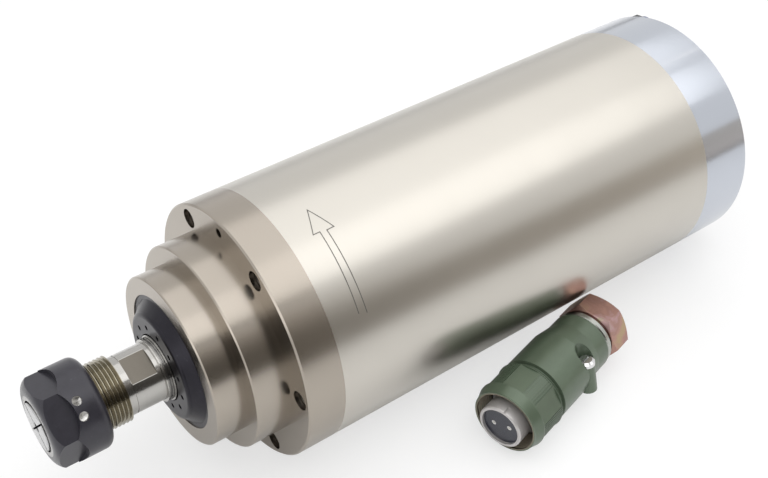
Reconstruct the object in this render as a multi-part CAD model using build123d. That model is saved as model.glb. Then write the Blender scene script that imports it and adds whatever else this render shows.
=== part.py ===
from build123d import *
from math import atan2, cos, degrees, hypot, radians, sin, sqrt, tan
import os

# A water-cooled milling spindle lying on its side, in millimetres.
# The spindle axis is X and the nose points to -X. The origin is on the axis, at the
# middle of the round body. Angles round the axis run from +Y towards +Z.
# The spindle's cable plug lies on the same surface beside the body.

# Radial sizes, from the collet outwards
collet_large_diameter = 21.0
nose_wall = 1.05
nose_thread_depth = 0.85
bearing_pass_clearance = 0.1
front_bearing_section = 11.0
shaft_shoulder_step = 3.0
rotor_seat_step = 0.5
shaft_neck_step = 1.5
rotor_yoke = 3.9
rotor_bar_diameter = 3.2
rotor_bar_bridge = 1.5
air_gap = 0.4
tooth_tip = 1.5
slot_depth = 8.0
stator_back_iron = 4.5
jacket_wall = 4.5
channel_depth = 5.0
tube_wall = 2.5
screw_outer_wall = 2.0
step_two_clearance = 1.2
step_one_wall = 6.7
cover_thread_step = 2.4

# Axial sizes, from the nose to the rear
step_one_length = 11.7
step_two_length = 14.0
flange_length = 15.0
front_spigot_length = 12.0
winding_gap = 7.5
winding_overhang = 14.0
stator_length = 90.0
cap_spigot_length = 6.0
bearing_recess = 1.0
rear_lock_length = 7.0
shaft_tail = 3.0
lead_bend_room = 8.0
cap_wall = 8.0

# Edges and margins
body_chamfer = 0.6
cap_chamfer = 1.0
step_chamfer = 0.5
small_edge = 0.4
spigot_clearance = 0.05
thread_clearance = 0.02
cut_margin = 1.0
thread_crest_share = 0.16

# Screws: one thread size holds both ends of the body
screw_diameter = 4.0
screw_hole_diameter = 4.5
screw_head_diameter = 7.0
screw_head_length = 4.0
screw_key_width = 3.0
screw_key_depth = 2.2
screw_edge = 0.4
counterbore_diameter = 7.4
front_screw_count = 6
front_screw_phase = 57.3
front_screw_length = 20.0
front_counterbore_depth = 6.0
cap_screw_count = 4
cap_screw_length = 30.0
cap_counterbore_depth = 6.0
tapped_extra_depth = 2.0

# Tapped holes in the flange for pushing it off the body
jack_hole_diameter = 3.4
jack_hole_outer_wall = 3.1
jack_hole_count = 2

# Dust cover over the front bearings
cover_thread_clearance = 0.1
cover_thread_length = 6.7
cover_rim_recess = 0.4
cover_rim_width = 1.7
cover_cone_width = 3.4
cover_rise = 4.1
cover_shoulder_width = 1.6
cover_shoulder_depth = 1.1
cover_wall = 2.2
cover_bore_clearance = 0.4
cover_lock_clearance = 0.6
cover_press_width = 3.0
cover_press_length = 3.0
cover_hole_count = 12
cover_hole_diameter = 2.0
cover_hole_inset = 3.5
cover_hole_phase = 7.0

# Front pair of angular-contact ball bearings
front_bearing_width = 12.0
front_bearing_ball = 7.1
front_ball_count = 12
front_spacer_length = 3.0
front_seat_wall = 4.0
front_seat_step = 3.5
front_spigot_wall = 5.0

# Rear pair
rear_bearing_bore = 17.0
rear_bearing_section = 9.0
rear_bearing_width = 10.0
rear_bearing_ball = 4.7
rear_ball_count = 12
rear_spacer_length = 2.0
rear_shoulder_step = 3.0

# Shapes that both bearing sizes share
groove_clearance = 0.1
cage_clearance = 0.15
cage_thickness = 2.0
cage_rim = 0.9
land_ratio = 0.6
ring_edge = 0.3
inner_spacer_wall = 2.6
outer_spacer_wall = 2.6

# Cooling jacket: rings of coolant round the stator, linked one to the next
jacket_land_front = 25.0
jacket_land_rear = 32.0
channel_count = 5
channel_rib = 5.0
feed_angle = 52.0
return_angle = feed_angle + 180
feed_width = 9.0
bridge_half_width = 14.0
link_width = 8.0
duct_diameter = 5.2
duct_inset = 5.0
carrier_seat_step = 1.0

# Seal rings
tube_seal_section = 1.5
tube_seal_groove_width = 2.2
front_tube_seal_setback = 20.0
rear_tube_seal_setback = 23.0
spigot_seal_section = 1.8
spigot_seal_groove_width = 2.5
spigot_seal_setback = 5.0
port_seal_section = 1.0
port_seal_diameter = 6.8

# Stator and its winding
slot_count = 18
slot_angle = 11.0
slot_mouth_angle = 4.0
slot_liner = 0.3
winding_end_gap = 1.5
winding_end_bulge = 2.0
winding_end_round = 3.0

# Rotor
rotor_bar_count = 22
rotor_bar_clearance = 0.02
end_ring_length = 6.0
end_ring_margin = 1.0
end_ring_step = 1.5

# Shaft
shaft_shoulder_length = 6.0
shaft_carrier_gap = 1.0
seat_standout = 0.4
labyrinth_step = 0.5
labyrinth_length = 2.5
labyrinth_groove_count = 2
labyrinth_groove_pitch = 1.1
labyrinth_groove_setback = 0.3
labyrinth_groove_width = 0.4
labyrinth_groove_depth = 0.3
nose_step = 1.0
nose_collar_length = 11.45
nose_groove_width = 0.4
nose_groove_depth = 0.3
nose_ring_length = 2.2
wrench_flat_length = 9.6
wrench_flat_setback = 1.6
wrench_flat_depth = 1.35
wrench_flat_angle = 112.0
nose_thread_pitch = 1.5
nose_thread_length = 23.35
thread_relief_length = 0.4

# Lock rings that clamp the inner bearing rings
front_lock_length = 8.0
front_lock_wall = 4.1
rear_lock_wall = 5.5
lock_slot_count = 4
lock_slot_width = 4.0
lock_slot_depth = 1.6

# Collet with slits from both ends
collet_length = 31.5
collet_back_angle = 8.0
collet_front_angle = 30.0
collet_cone_width = 1.6
collet_lip_length = 1.6
collet_groove_depth = 1.0
collet_groove_length = 1.8
collet_bore = 4.0
collet_slit_width = 0.7
collet_slit_count = 4
collet_slit_phase = 42.0
collet_slit_stop = 4.0
collet_standout = 0.5
taper_clearance = 0.05
taper_extra_depth = 2.0
draw_bore_diameter = 8.0

# Collet nut, and the ring in it that pulls the collet out
nut_wall = 4.5
nut_length = 20.3
nut_front_wall = 1.5
nut_dome_width = 5.5
nut_dome_length = 3.3
nut_dome_bulge = 0.95
nut_mouth_clearance = 0.7
nut_rear_round = 3.0
nut_flat_depth = 2.5
nut_flat_phase = 138.5
nut_flat_count = 6
nut_cutter_radius = 14.3
nut_flat_length = 10.2
nut_thread_clearance = 0.1
nut_entry_chamfer = 0.7
collet_proud = 0.6
clamp_ring_lip = 0.9
clamp_ring_lip_depth = 0.5
balance_hole_diameter = 3.3
balance_hole_depth = 1.4
balance_tip_depth = 1.0
balance_hole_setback = 8.4
balance_hole_angles = (126.0, 145.3)

# Rear bearing carrier and its preload spring
carrier_lip = 3.0
carrier_lip_width = 3.5
spring_thickness = 1.0
spring_height = 4.0
spring_clearance = 0.2
spring_land = 0.7

# Water fittings: a hexagonal body, a guide sleeve pressed into it and a release ring
fitting_inset = 9.0
fitting_stud_diameter = 9.8
fitting_stud_length = 10.0
fitting_port_clearance = 0.05
fitting_port_depth = 12.0
fitting_hex_width = 13.0
fitting_hex_length = 11.0
fitting_hex_chamfer = 0.4
fitting_water_bore = 5.0
hose_bore = 8.2
hose_stop = 1.0
guide_wall = 0.8
release_tube_wall = 0.6
release_bore_clearance = 0.1
release_flange_width = 1.0
release_flange_length = 1.2
release_edge = 0.4
release_travel = 1.2
release_overlap = 3.6
release_clearance = 0.1
fitting_seal_section = 1.6
fitting_seal_setback = 2.2
fitting_seal_groove_width = 2.0

# Power socket on the rear cap
socket_flange_margin = 3.0
socket_flange_thickness = 3.0
socket_corner_radius = 3.0
socket_gasket_thickness = 1.0
socket_barrel_diameter = 24.8
socket_barrel_length = 11.0
socket_barrel_wall = 2.9
socket_tail_step = 1.4
socket_tail_reach = 2.0
socket_thread_pitch = 1.25
socket_thread_depth = 0.6
socket_insulator_step = 3.0
socket_insulator_setback = 1.5
socket_nose_clearance = 0.5
socket_hole_clearance = 0.2
socket_pin_diameter = 1.8
socket_pin_tail = 3.0
socket_screw_diameter = 3.0
socket_screw_depth = 6.0
socket_screw_tip_gap = 0.3
socket_screw_clearance = 0.2
socket_screw_head_diameter = 5.5
socket_screw_head_length = 1.8
socket_screw_slot_width = 0.8
socket_screw_gap = 0.4
contact_count = 2
contact_circle_diameter = 6.9
socket_contact_phase = 45.0
socket_key_clearance = 0.1

# Leads from the winding to the socket
lead_diameter = 2.0
lead_hole_diameter = 4.0
lead_bend_radius = 2.0
lead_side_clearance = 0.75

# Cable plug lying beside the body: where it lies
plug_front_x = -40.15
plug_turn = 15.0
plug_roll = -12.0
plug_gap = 0.42

# Front ring, insulator and contacts of the plug
plug_ring_clearance = 0.3
plug_ring_wall = 1.3
plug_ring_length = 24.0
plug_collar_width = 2.3
plug_collar_length = 1.8
plug_collar_play = 0.25
plug_key_width = 0.9
plug_key_depth = 0.6
plug_key_angle = 112.0
plug_contact_phase = 0.0
plug_insulator_recess = 1.2
plug_insulator_length = 18.0
plug_contact_diameter = 1.9
plug_contact_wall = 0.45
plug_contact_hole_depth = 6.0
plug_contact_recess = 0.15
plug_contact_tail = 3.0

# Coupling nut of the plug
coupling_wall = 2.2
coupling_setback = 3.3
coupling_length = 17.8
coupling_cone_depth = 1.3
coupling_cone_length = 3.8
coupling_lip = 0.6
coupling_edge = 0.6
coupling_thread_clearance = 0.1
coupling_thread_length = 11.2
coupling_neck_clearance = 0.3
coupling_rib_patches = 6
coupling_rib_count = 7
coupling_rib_pitch = 3.8
coupling_rib_width = 0.5
coupling_rib_depth = 0.35
coupling_rib_front = 4.9
coupling_rib_rear = 0.8
coupling_rib_phase = 9.0
coupling_flat_depth = 0.65
coupling_gap = 0.9

# Shell of the plug
shell_step = 0.5
shell_neck_depth = 1.2
shell_neck_length = 0.9
shell_front_length = 19.5
shell_taper_depth = 1.4
shell_taper_length = 8.0
shell_length = 36.2
shell_round = 1.0
shell_front_wall = 5.0
shell_inner_wall = 0.8
shell_ring_clearance = 0.05
ear_station = 21.1
ear_inset = 2.6
ear_diameter = 6.8
ear_drop = 8.9
ear_rise = 3.4
spot_face_diameter = 7.6
side_screw_diameter = 3.0
side_screw_head_diameter = 6.9
side_screw_head_length = 2.3
side_screw_length = 12.8
side_screw_slot_width = 0.8

# Washer, clamp nut and grommet of the plug
plug_washer_step = 0.4
plug_washer_thickness = 2.6
plug_washer_edge = 0.5
clamp_nut_width = 24.0
clamp_nut_length = 10.8
clamp_nut_chamfer = 2.2
clamp_nut_neck_length = 1.4
clamp_nut_neck_depth = 1.6
clamp_nut_tail_wall = 1.75
clamp_nut_tail_length = 6.0
grommet_bore = 8.0
grommet_setback = 1.0

# Shaft and bearing radii
nose_thread_diameter = collet_large_diameter + 2 * (nose_wall + nose_thread_depth)
front_bearing_bore = nose_thread_diameter + 2 * bearing_pass_clearance
front_bearing_outer = front_bearing_bore + 2 * front_bearing_section
rear_bearing_outer = rear_bearing_bore + 2 * rear_bearing_section
shaft_shoulder_radius = front_bearing_bore / 2 + shaft_shoulder_step
rotor_seat_radius = shaft_shoulder_radius - rotor_seat_step
shaft_neck_radius = rotor_seat_radius - shaft_neck_step
shaft_rear_radius = rear_bearing_bore / 2 + rear_shoulder_step
labyrinth_radius = front_bearing_bore / 2 - labyrinth_step
nose_radius = labyrinth_radius - nose_step

# Rotor, stator, jacket and body radii
rotor_bar_circle = rotor_seat_radius + rotor_yoke + rotor_bar_diameter / 2
rotor_radius = rotor_bar_circle + rotor_bar_diameter / 2 + rotor_bar_bridge
stator_bore_radius = rotor_radius + air_gap
slot_inner_radius = stator_bore_radius + tooth_tip
slot_outer_radius = slot_inner_radius + slot_depth
jacket_bore_radius = slot_outer_radius + stator_back_iron
channel_floor_radius = jacket_bore_radius + jacket_wall
tube_inner_radius = channel_floor_radius + channel_depth
body_radius = tube_inner_radius + tube_wall
carrier_radius = jacket_bore_radius + carrier_seat_step
duct_circle = tube_inner_radius - duct_inset
fitting_circle = body_radius - fitting_inset

# Front end radii
screw_circle = body_radius - screw_outer_wall - counterbore_diameter / 2
jack_hole_circle = body_radius - jack_hole_outer_wall - jack_hole_diameter / 2
step_two_radius = screw_circle - counterbore_diameter / 2 - step_two_clearance
cover_thread_radius = front_bearing_outer / 2 + cover_thread_step
cover_bore_radius = cover_thread_radius + cover_thread_clearance
step_one_radius = cover_bore_radius + step_one_wall
front_lock_radius = front_bearing_bore / 2 + front_lock_wall

# Leads and the cavity in the rear cap
lead_circle = (rear_bearing_outer / 2 + carrier_radius) / 2
cap_cavity_radius = lead_circle + lead_diameter / 2 + lead_side_clearance

# Stations along the axis
carrier_length = carrier_lip + spring_height + 2 * rear_bearing_width + rear_spacer_length + bearing_recess
stator_bay = stator_length + 2 * (winding_overhang + winding_gap)
cap_inside = rear_lock_length - bearing_recess + shaft_tail + lead_bend_room + socket_pin_tail
tube_length = front_spigot_length + stator_bay + carrier_length + cap_spigot_length
rear_cap_length = cap_inside + socket_tail_reach + cap_wall - cap_spigot_length
body_length = flange_length + tube_length + rear_cap_length
flange_front = -body_length / 2
flange_back = flange_front + flange_length
cap_back = body_length / 2
cap_front = cap_back - rear_cap_length
step_two_front = flange_front - step_two_length
step_one_front = step_two_front - step_one_length
cover_face = step_one_front - cover_rise
front_bearing_start = step_one_front + cover_thread_length
front_bearing_end = front_bearing_start + 2 * front_bearing_width + front_spacer_length
front_seat_end = front_bearing_end + front_seat_wall
spigot_end = flange_back + front_spigot_length
cap_spigot_start = cap_front - cap_spigot_length
carrier_start = cap_spigot_start - carrier_length
rear_bearing_start = carrier_start + carrier_lip + spring_height
rear_bearing_end = cap_spigot_start - bearing_recess
stator_start = spigot_end + winding_gap + winding_overhang
stator_end = stator_start + stator_length
seat_start = cover_face - seat_standout
labyrinth_start = seat_start - labyrinth_length
collar_start = labyrinth_start - nose_collar_length
nose_thread_end = collar_start - nose_ring_length
shaft_face = nose_thread_end - nose_thread_length
rear_lock_end = rear_bearing_end + rear_lock_length
shaft_tail_end = rear_lock_end + shaft_tail
cap_cavity_end = cap_back - cap_wall
channel_start = flange_back + jacket_land_front
channel_end = cap_front - jacket_land_rear

# Collet and nut
collet_lip_radius = collet_large_diameter / 2 - collet_cone_width
collet_groove_radius = collet_lip_radius - collet_groove_depth
cone_length = collet_cone_width / tan(radians(collet_front_angle))
collet_large_x = shaft_face - collet_standout
collet_head_length = cone_length + collet_groove_length + collet_lip_length
collet_face = collet_large_x - collet_head_length
nut_face = collet_face + collet_proud
nut_rear = nut_face + nut_length
nut_bore_radius = nose_thread_diameter / 2 + nut_thread_clearance
nut_radius = nut_bore_radius + nut_wall

# Water fittings
fitting_mouth = cap_back + fitting_hex_length
hose_bore_start = cap_back + hose_stop
guide_seat = fitting_mouth - release_overlap - release_travel
release_bore_radius = hose_bore / 2 + release_bore_clearance
release_tube_radius = release_bore_radius + release_tube_wall
guide_bore_radius = release_tube_radius + release_clearance
guide_radius = guide_bore_radius + guide_wall

# Socket and plug radii
socket_flange_start = cap_back + socket_gasket_thickness
socket_flange_end = socket_flange_start + socket_flange_thickness
socket_mouth = socket_flange_end + socket_barrel_length
socket_tail_start = cap_cavity_end - socket_tail_reach
socket_barrel_radius = socket_barrel_diameter / 2
socket_bore_radius = socket_barrel_radius - socket_barrel_wall
socket_tail_radius = socket_barrel_radius - socket_tail_step
socket_screw_circle = socket_barrel_radius + socket_screw_head_diameter / 2 + socket_screw_gap
socket_screw_half = socket_screw_circle * sqrt(0.5)
socket_flange_width = 2 * (socket_screw_half + socket_flange_margin)
plug_ring_radius = socket_bore_radius - plug_ring_clearance
plug_ring_bore = plug_ring_radius - plug_ring_wall
coupling_bore_radius = socket_barrel_radius + coupling_thread_clearance
coupling_radius = coupling_bore_radius + coupling_wall
coupling_neck_radius = plug_ring_radius + coupling_neck_clearance
shell_radius = coupling_radius - shell_step
shell_rear_radius = shell_radius - shell_taper_depth
ear_offset = shell_radius - ear_inset
shell_cavity_radius = ear_offset - side_screw_diameter / 2 - shell_inner_wall
washer_radius = shell_rear_radius - plug_washer_step
clamp_nut_tail_radius = shell_cavity_radius - shell_ring_clearance
clamp_nut_bore_radius = clamp_nut_tail_radius - clamp_nut_tail_wall

# Where the plug's pieces lie, from its front ring backwards
coupling_end = coupling_setback + coupling_length
coupling_neck_start = coupling_setback + coupling_thread_length
shell_start = coupling_end + coupling_gap
shell_end = shell_start + shell_length
washer_end = shell_end + plug_washer_thickness
clamp_nut_start = washer_end + clamp_nut_neck_length
clamp_nut_end = clamp_nut_start + clamp_nut_length
plug_axis_height = coupling_radius - body_radius
clamp_nut_distance = body_radius + plug_gap + clamp_nut_width / 2
clamp_nut_y = -sqrt(clamp_nut_distance**2 - plug_axis_height**2)
plug_front_y = clamp_nut_y - clamp_nut_end * sin(radians(plug_turn))
plug_place = Pos(plug_front_x, plug_front_y, plug_axis_height) * Rot(Z=plug_turn) * Rot(X=plug_roll)


def profile(*points):
    """A closed flat outline of (x, radius) points, ready to be turned."""
    return make_face(Polyline(*points, close=True))


def turned(*points):
    """A solid turned about the X axis from (x, radius) points."""
    return revolve(profile(*points), Axis.X)


def rod(start, end, radius):
    """A plain cylinder on the X axis."""
    return turned((start, 0), (end, 0), (end, radius), (start, radius))


def ring(start, end, inner, outer):
    """A plain ring round the X axis."""
    return turned((start, inner), (end, inner), (end, outer), (start, outer))


def broken_ring(start, end, inner, outer, edge):
    """A ring with both outer edges broken."""
    return turned(
        (start, inner),
        (end, inner),
        (end, outer - edge),
        (end - edge, outer),
        (start + edge, outer),
        (start, outer - edge),
    )


def sector(start, end, inner, outer, middle, width):
    """The part of a ring that spans `width` degrees round the angle `middle`."""
    face = profile((start, inner), (end, inner), (end, outer), (start, outer))
    return Rot(X=middle - width / 2) * revolve(face, Axis.X, width)


def seal_ring(middle, radius, section):
    """A round-section seal ring about the X axis."""
    return Pos(middle, 0, 0) * Rot(Y=90) * Torus(radius, section / 2)


def polar(radius, angle):
    """A place at this radius and angle in the plane across the X axis."""
    return Pos(0, radius * cos(radians(angle)), radius * sin(radians(angle)))


def around(count, radius, phase=0.0):
    """Evenly spaced places on a circle round the X axis."""
    return [polar(radius, phase + 360 / count * n) for n in range(count)]


def facing(angle):
    """Turns what was drawn on top (+Z) to this angle round the X axis."""
    return Rot(X=angle - 90)


def hex_prism(start, end, across_flats, turn=0.0):
    """A hexagonal bar along the X axis with a flat facing `turn` degrees from +Z."""
    outline = RegularPolygon(across_flats / 2, 6, major_radius=False)
    bar = extrude(Plane.YZ.offset(start) * outline, end - start)
    return Rot(X=turn) * bar


def thread_edge(start, end, pitch, crest, root):
    """Outline points of as many V grooves as fit between two stations, ending at the second."""
    flat = pitch * thread_crest_share / 2
    count = int((end - start) / pitch)
    points = []
    for n in range(count):
        x = end - (count - n) * pitch
        points += [(x + flat, crest), (x + pitch / 2, root), (x + pitch - flat, crest)]
    return points


def cap_screw(diameter, length, head_diameter, head_length):
    """A socket-head screw along +X, with its head's seat at the origin."""
    edge = screw_edge
    body = turned(
        (-head_length, 0),
        (-head_length, head_diameter / 2 - edge),
        (edge - head_length, head_diameter / 2),
        (0, head_diameter / 2),
        (0, diameter / 2),
        (length - edge, diameter / 2),
        (length, diameter / 2 - edge),
        (length, 0),
    )
    return body - hex_prism(-head_length - cut_margin, screw_key_depth - head_length, screw_key_width)


def pan_screw(diameter, length, head_diameter, head_length, slot_width):
    """A slotted pan-head screw along +X, with its head's seat at the origin."""
    edge = head_length * 0.4
    body = turned(
        (-head_length, 0),
        (-head_length, head_diameter / 2 - edge),
        (edge - head_length, head_diameter / 2),
        (0, head_diameter / 2),
        (0, diameter / 2),
        (length, diameter / 2),
        (length, 0),
    )
    slot = Pos(-head_length, 0, 0) * Box(head_length, slot_width, head_diameter)
    return body - slot


# Front housing, its screws and the dust cover

def make_front_housing():
    c = step_chamfer
    b = body_chamfer
    spigot = jacket_bore_radius - spigot_clearance
    cavity = jacket_bore_radius - front_spigot_wall
    bearing = front_bearing_outer / 2
    housing = turned(
        (step_one_front, cover_bore_radius),
        (step_one_front, step_one_radius - c),
        (step_one_front + c, step_one_radius),
        (step_two_front, step_one_radius),
        (step_two_front, step_two_radius - c),
        (step_two_front + c, step_two_radius),
        (flange_front, step_two_radius),
        (flange_front, body_radius - b),
        (flange_front + b, body_radius),
        (flange_back, body_radius),
        (flange_back, spigot),
        (spigot_end, spigot),
        (spigot_end, cavity),
        (front_seat_end, cavity),
        (front_seat_end, bearing - front_seat_step),
        (front_bearing_end, bearing - front_seat_step),
        (front_bearing_end, bearing),
        (front_bearing_start, bearing),
        (front_bearing_start, cover_bore_radius),
    )
    before = flange_front - cut_margin
    after = flange_back + cut_margin
    seat = flange_front + front_counterbore_depth
    for place in around(front_screw_count, screw_circle, front_screw_phase):
        housing -= place * rod(before, seat, counterbore_diameter / 2)
        housing -= place * rod(before, after, screw_hole_diameter / 2)
    jack_phase = front_screw_phase + 180 / front_screw_count
    for place in around(jack_hole_count, jack_hole_circle, jack_phase):
        housing -= place * rod(before, after, jack_hole_diameter / 2)
    seal_middle = flange_back + spigot_seal_setback
    return housing - ring(
        seal_middle - spigot_seal_groove_width / 2,
        seal_middle + spigot_seal_groove_width / 2,
        jacket_bore_radius - spigot_seal_section,
        jacket_bore_radius,
    )


def make_front_screws():
    seat = flange_front + front_counterbore_depth
    screw = cap_screw(screw_diameter, front_screw_length, screw_head_diameter, screw_head_length)
    places = around(front_screw_count, screw_circle, front_screw_phase)
    return [place * Pos(seat, 0, 0) * screw for place in places]


def make_dust_cover():
    rim = step_one_front + cover_rim_recess
    rim_inner = cover_thread_radius - cover_rim_width
    shoulder = rim_inner - cover_cone_width
    face = shoulder - cover_shoulder_width
    bore = front_bearing_bore / 2 + cover_bore_clearance
    cavity = front_lock_radius + cover_lock_clearance
    press = front_bearing_outer / 2 - cover_press_width
    inside = cover_face + cover_wall
    press_start = front_bearing_start - cover_press_length
    outline = [
        Polyline(
            (cover_face, face),
            (cover_face, bore),
            (inside, bore),
            (inside, cavity),
            (press_start, cavity),
            (press_start, press),
            (front_bearing_start, press),
            (front_bearing_start, cover_thread_radius),
            (rim, cover_thread_radius),
            (rim, rim_inner),
            (cover_face + cover_shoulder_depth, shoulder),
        ),
        RadiusArc(
            (cover_face + cover_shoulder_depth, shoulder),
            (cover_face, face),
            -hypot(cover_shoulder_width, cover_shoulder_depth),
        ),
    ]
    cover = revolve(make_face(outline), Axis.X)
    drill = rod(cover_face - cut_margin, inside + cut_margin, cover_hole_diameter / 2)
    for place in around(cover_hole_count, face - cover_hole_inset, cover_hole_phase):
        cover -= place * drill
    return cover


# Tube, cooling jacket and seals

def make_body_tube():
    return ring(flange_back, cap_front, tube_inner_radius, body_radius)


def channel_span(n):
    """Start and end of coolant ring number n."""
    width = (channel_end - channel_start - channel_rib * (channel_count - 1)) / channel_count
    start = channel_start + n * (width + channel_rib)
    return start, start + width


def tube_seal_stations():
    return flange_back + front_tube_seal_setback, cap_front - rear_tube_seal_setback


def make_cooling_jacket():
    outside = tube_inner_radius + cut_margin
    behind = cap_front + cut_margin
    jacket = ring(flange_back, cap_front, jacket_bore_radius, tube_inner_radius)
    jacket -= ring(carrier_start, behind, jacket_bore_radius - cut_margin, carrier_radius)
    closed = 2 * bridge_half_width
    closed_beside_feed = bridge_half_width - feed_width / 2
    for n in range(channel_count):
        start, end = channel_span(n)
        away = feed_angle + 180
        if n == 0:
            away += (bridge_half_width + feed_width / 2) / 2
        width = 360 - (closed_beside_feed if n == 0 else closed)
        jacket -= sector(start, end, channel_floor_radius, outside, away, width)
    for n in range(channel_count - 1):
        side = 1 if n % 2 == 0 else -1
        link = feed_angle + side * (bridge_half_width + link_width / 2)
        start = channel_span(n)[1] - cut_margin
        end = channel_span(n + 1)[0] + cut_margin
        jacket -= sector(start, end, channel_floor_radius, outside, link, link_width)
    jacket -= sector(channel_start, channel_end, channel_floor_radius, outside, feed_angle, feed_width)
    duct = rod(channel_end - cut_margin, behind, duct_diameter / 2)
    for angle in (feed_angle, return_angle):
        jacket -= polar(duct_circle, angle) * duct
    tapped = screw_diameter / 2 + thread_clearance
    front_reach = flange_front + front_counterbore_depth + front_screw_length + tapped_extra_depth
    for place in around(front_screw_count, screw_circle, front_screw_phase):
        jacket -= place * rod(flange_back - cut_margin, front_reach, tapped)
    rear_reach = cap_back - cap_counterbore_depth - cap_screw_length - tapped_extra_depth
    for place in around(cap_screw_count, screw_circle):
        jacket -= place * rod(rear_reach, behind, tapped)
    for middle in tube_seal_stations():
        jacket -= ring(
            middle - tube_seal_groove_width / 2,
            middle + tube_seal_groove_width / 2,
            tube_inner_radius - tube_seal_section,
            outside,
        )
    return jacket


def make_jacket_seals():
    radius = tube_inner_radius - tube_seal_section / 2
    seals = [seal_ring(middle, radius, tube_seal_section) for middle in tube_seal_stations()]
    spigot_radius = jacket_bore_radius - spigot_seal_section / 2
    seals.append(seal_ring(flange_back + spigot_seal_setback, spigot_radius, spigot_seal_section))
    return seals


def make_port_seals():
    middle = cap_front + port_seal_section / 2
    seal = seal_ring(middle, port_seal_diameter / 2, port_seal_section)
    return [polar(duct_circle, angle) * seal for angle in (feed_angle, return_angle)]


# Stator

def make_stator_core():
    core = ring(stator_start, stator_end, stator_bore_radius, jacket_bore_radius)
    before = stator_start - cut_margin
    after = stator_end + cut_margin
    for n in range(slot_count):
        angle = 360 / slot_count * n
        core -= sector(before, after, slot_inner_radius, slot_outer_radius, angle, slot_angle)
        mouth_start = stator_bore_radius - cut_margin
        mouth_end = (slot_inner_radius + slot_outer_radius) / 2
        core -= sector(before, after, mouth_start, mouth_end, angle, slot_mouth_angle)
    return core


def make_stator_winding():
    start = stator_start - winding_overhang
    end = stator_end + winding_overhang
    inner = slot_inner_radius + slot_liner
    outer = slot_outer_radius - slot_liner
    end_outer = slot_outer_radius + winding_end_bulge
    r = winding_end_round
    length = winding_overhang - winding_end_gap
    bundle = turned(
        (0, inner + r),
        (r, inner),
        (length - r, inner),
        (length, inner + r),
        (length, end_outer - r),
        (length - r, end_outer),
        (r, end_outer),
        (0, end_outer - r),
    )
    bar_angle = slot_angle - 2 * degrees(slot_liner / inner)
    pieces = [Pos(end - length, 0, 0) * bundle]
    for n in range(slot_count):
        pieces.append(sector(start + r, end - r, inner, outer, 360 / slot_count * n, bar_angle))
    return (Pos(start, 0, 0) * bundle).fuse(*pieces)


def lead_angles():
    """Each lead runs along the side of its own contact."""
    return [socket_contact_phase + 360 / contact_count * n for n in range(contact_count)]


def make_motor_leads():
    start = stator_end + winding_overhang
    bend = shaft_tail_end + lead_bend_room / 2
    arrive = socket_tail_start - socket_pin_tail
    contact = contact_circle_diameter / 2
    line = FilletPolyline(
        (start, 0, lead_circle),
        (bend, 0, lead_circle),
        (arrive - lead_bend_radius * 1.5, 0, contact),
        (arrive, 0, contact),
        radius=lead_bend_radius,
    )
    section = Plane(origin=(start, 0, lead_circle), z_dir=(1, 0, 0)) * Circle(lead_diameter / 2)
    lead = sweep(section, path=line)
    return [facing(angle) * lead for angle in lead_angles()]


# Bearings: each function makes both bearings of a pair

def pair_starts(start, width, spacer):
    return start, start + width + spacer


def pitch_radius(bore, outer):
    return (bore + outer) / 4


def make_inner_rings(start, bore, outer, width, ball, spacer):
    pitch = pitch_radius(bore, outer)
    land = pitch - ball / 2 * land_ratio
    rings = []
    for x in pair_starts(start, width, spacer):
        body = broken_ring(x, x + width, bore / 2, land, ring_edge)
        rings.append(body - seal_ring(x + width / 2, pitch, ball + 2 * groove_clearance))
    return rings


def make_outer_rings(start, bore, outer, width, ball, spacer):
    pitch = pitch_radius(bore, outer)
    land = pitch + ball / 2 * land_ratio
    rings = []
    for x in pair_starts(start, width, spacer):
        body = broken_ring(x, x + width, land, outer / 2, ring_edge)
        rings.append(body - seal_ring(x + width / 2, pitch, ball + 2 * groove_clearance))
    return rings


def make_balls(count, start, bore, outer, width, ball, spacer):
    places = around(count, pitch_radius(bore, outer))
    starts = pair_starts(start, width, spacer)
    return [place * Pos(x + width / 2, 0, 0) * Sphere(ball / 2) for x in starts for place in places]


def make_cages(count, start, bore, outer, width, ball, spacer):
    pitch = pitch_radius(bore, outer)
    inner = pitch - cage_thickness / 2
    pocket = ball / 2 + cage_clearance
    cages = []
    for x in pair_starts(start, width, spacer):
        middle = x + width / 2
        half = pocket + cage_rim
        cage = ring(middle - half, middle + half, inner, inner + cage_thickness)
        for n in range(count):
            cage -= facing(360 / count * n) * Pos(middle, 0, pitch) * Cylinder(pocket, 2 * cage_thickness)
        cages.append(cage)
    return cages


def make_inner_spacer(start, bore, outer, width, ball, spacer):
    return ring(start + width, start + width + spacer, bore / 2, bore / 2 + inner_spacer_wall)


def make_outer_spacer(start, bore, outer, width, ball, spacer):
    return ring(start + width, start + width + spacer, outer / 2 - outer_spacer_wall, outer / 2)


front_pair = (
    front_bearing_start,
    front_bearing_bore,
    front_bearing_outer,
    front_bearing_width,
    front_bearing_ball,
    front_spacer_length,
)
rear_pair = (
    rear_bearing_start,
    rear_bearing_bore,
    rear_bearing_outer,
    rear_bearing_width,
    rear_bearing_ball,
    rear_spacer_length,
)


# Shaft, lock rings and rotor

def collet_radius(x):
    """Radius of the collet's long back taper at station x."""
    return collet_large_diameter / 2 - (x - collet_large_x) * tan(radians(collet_back_angle))


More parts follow.
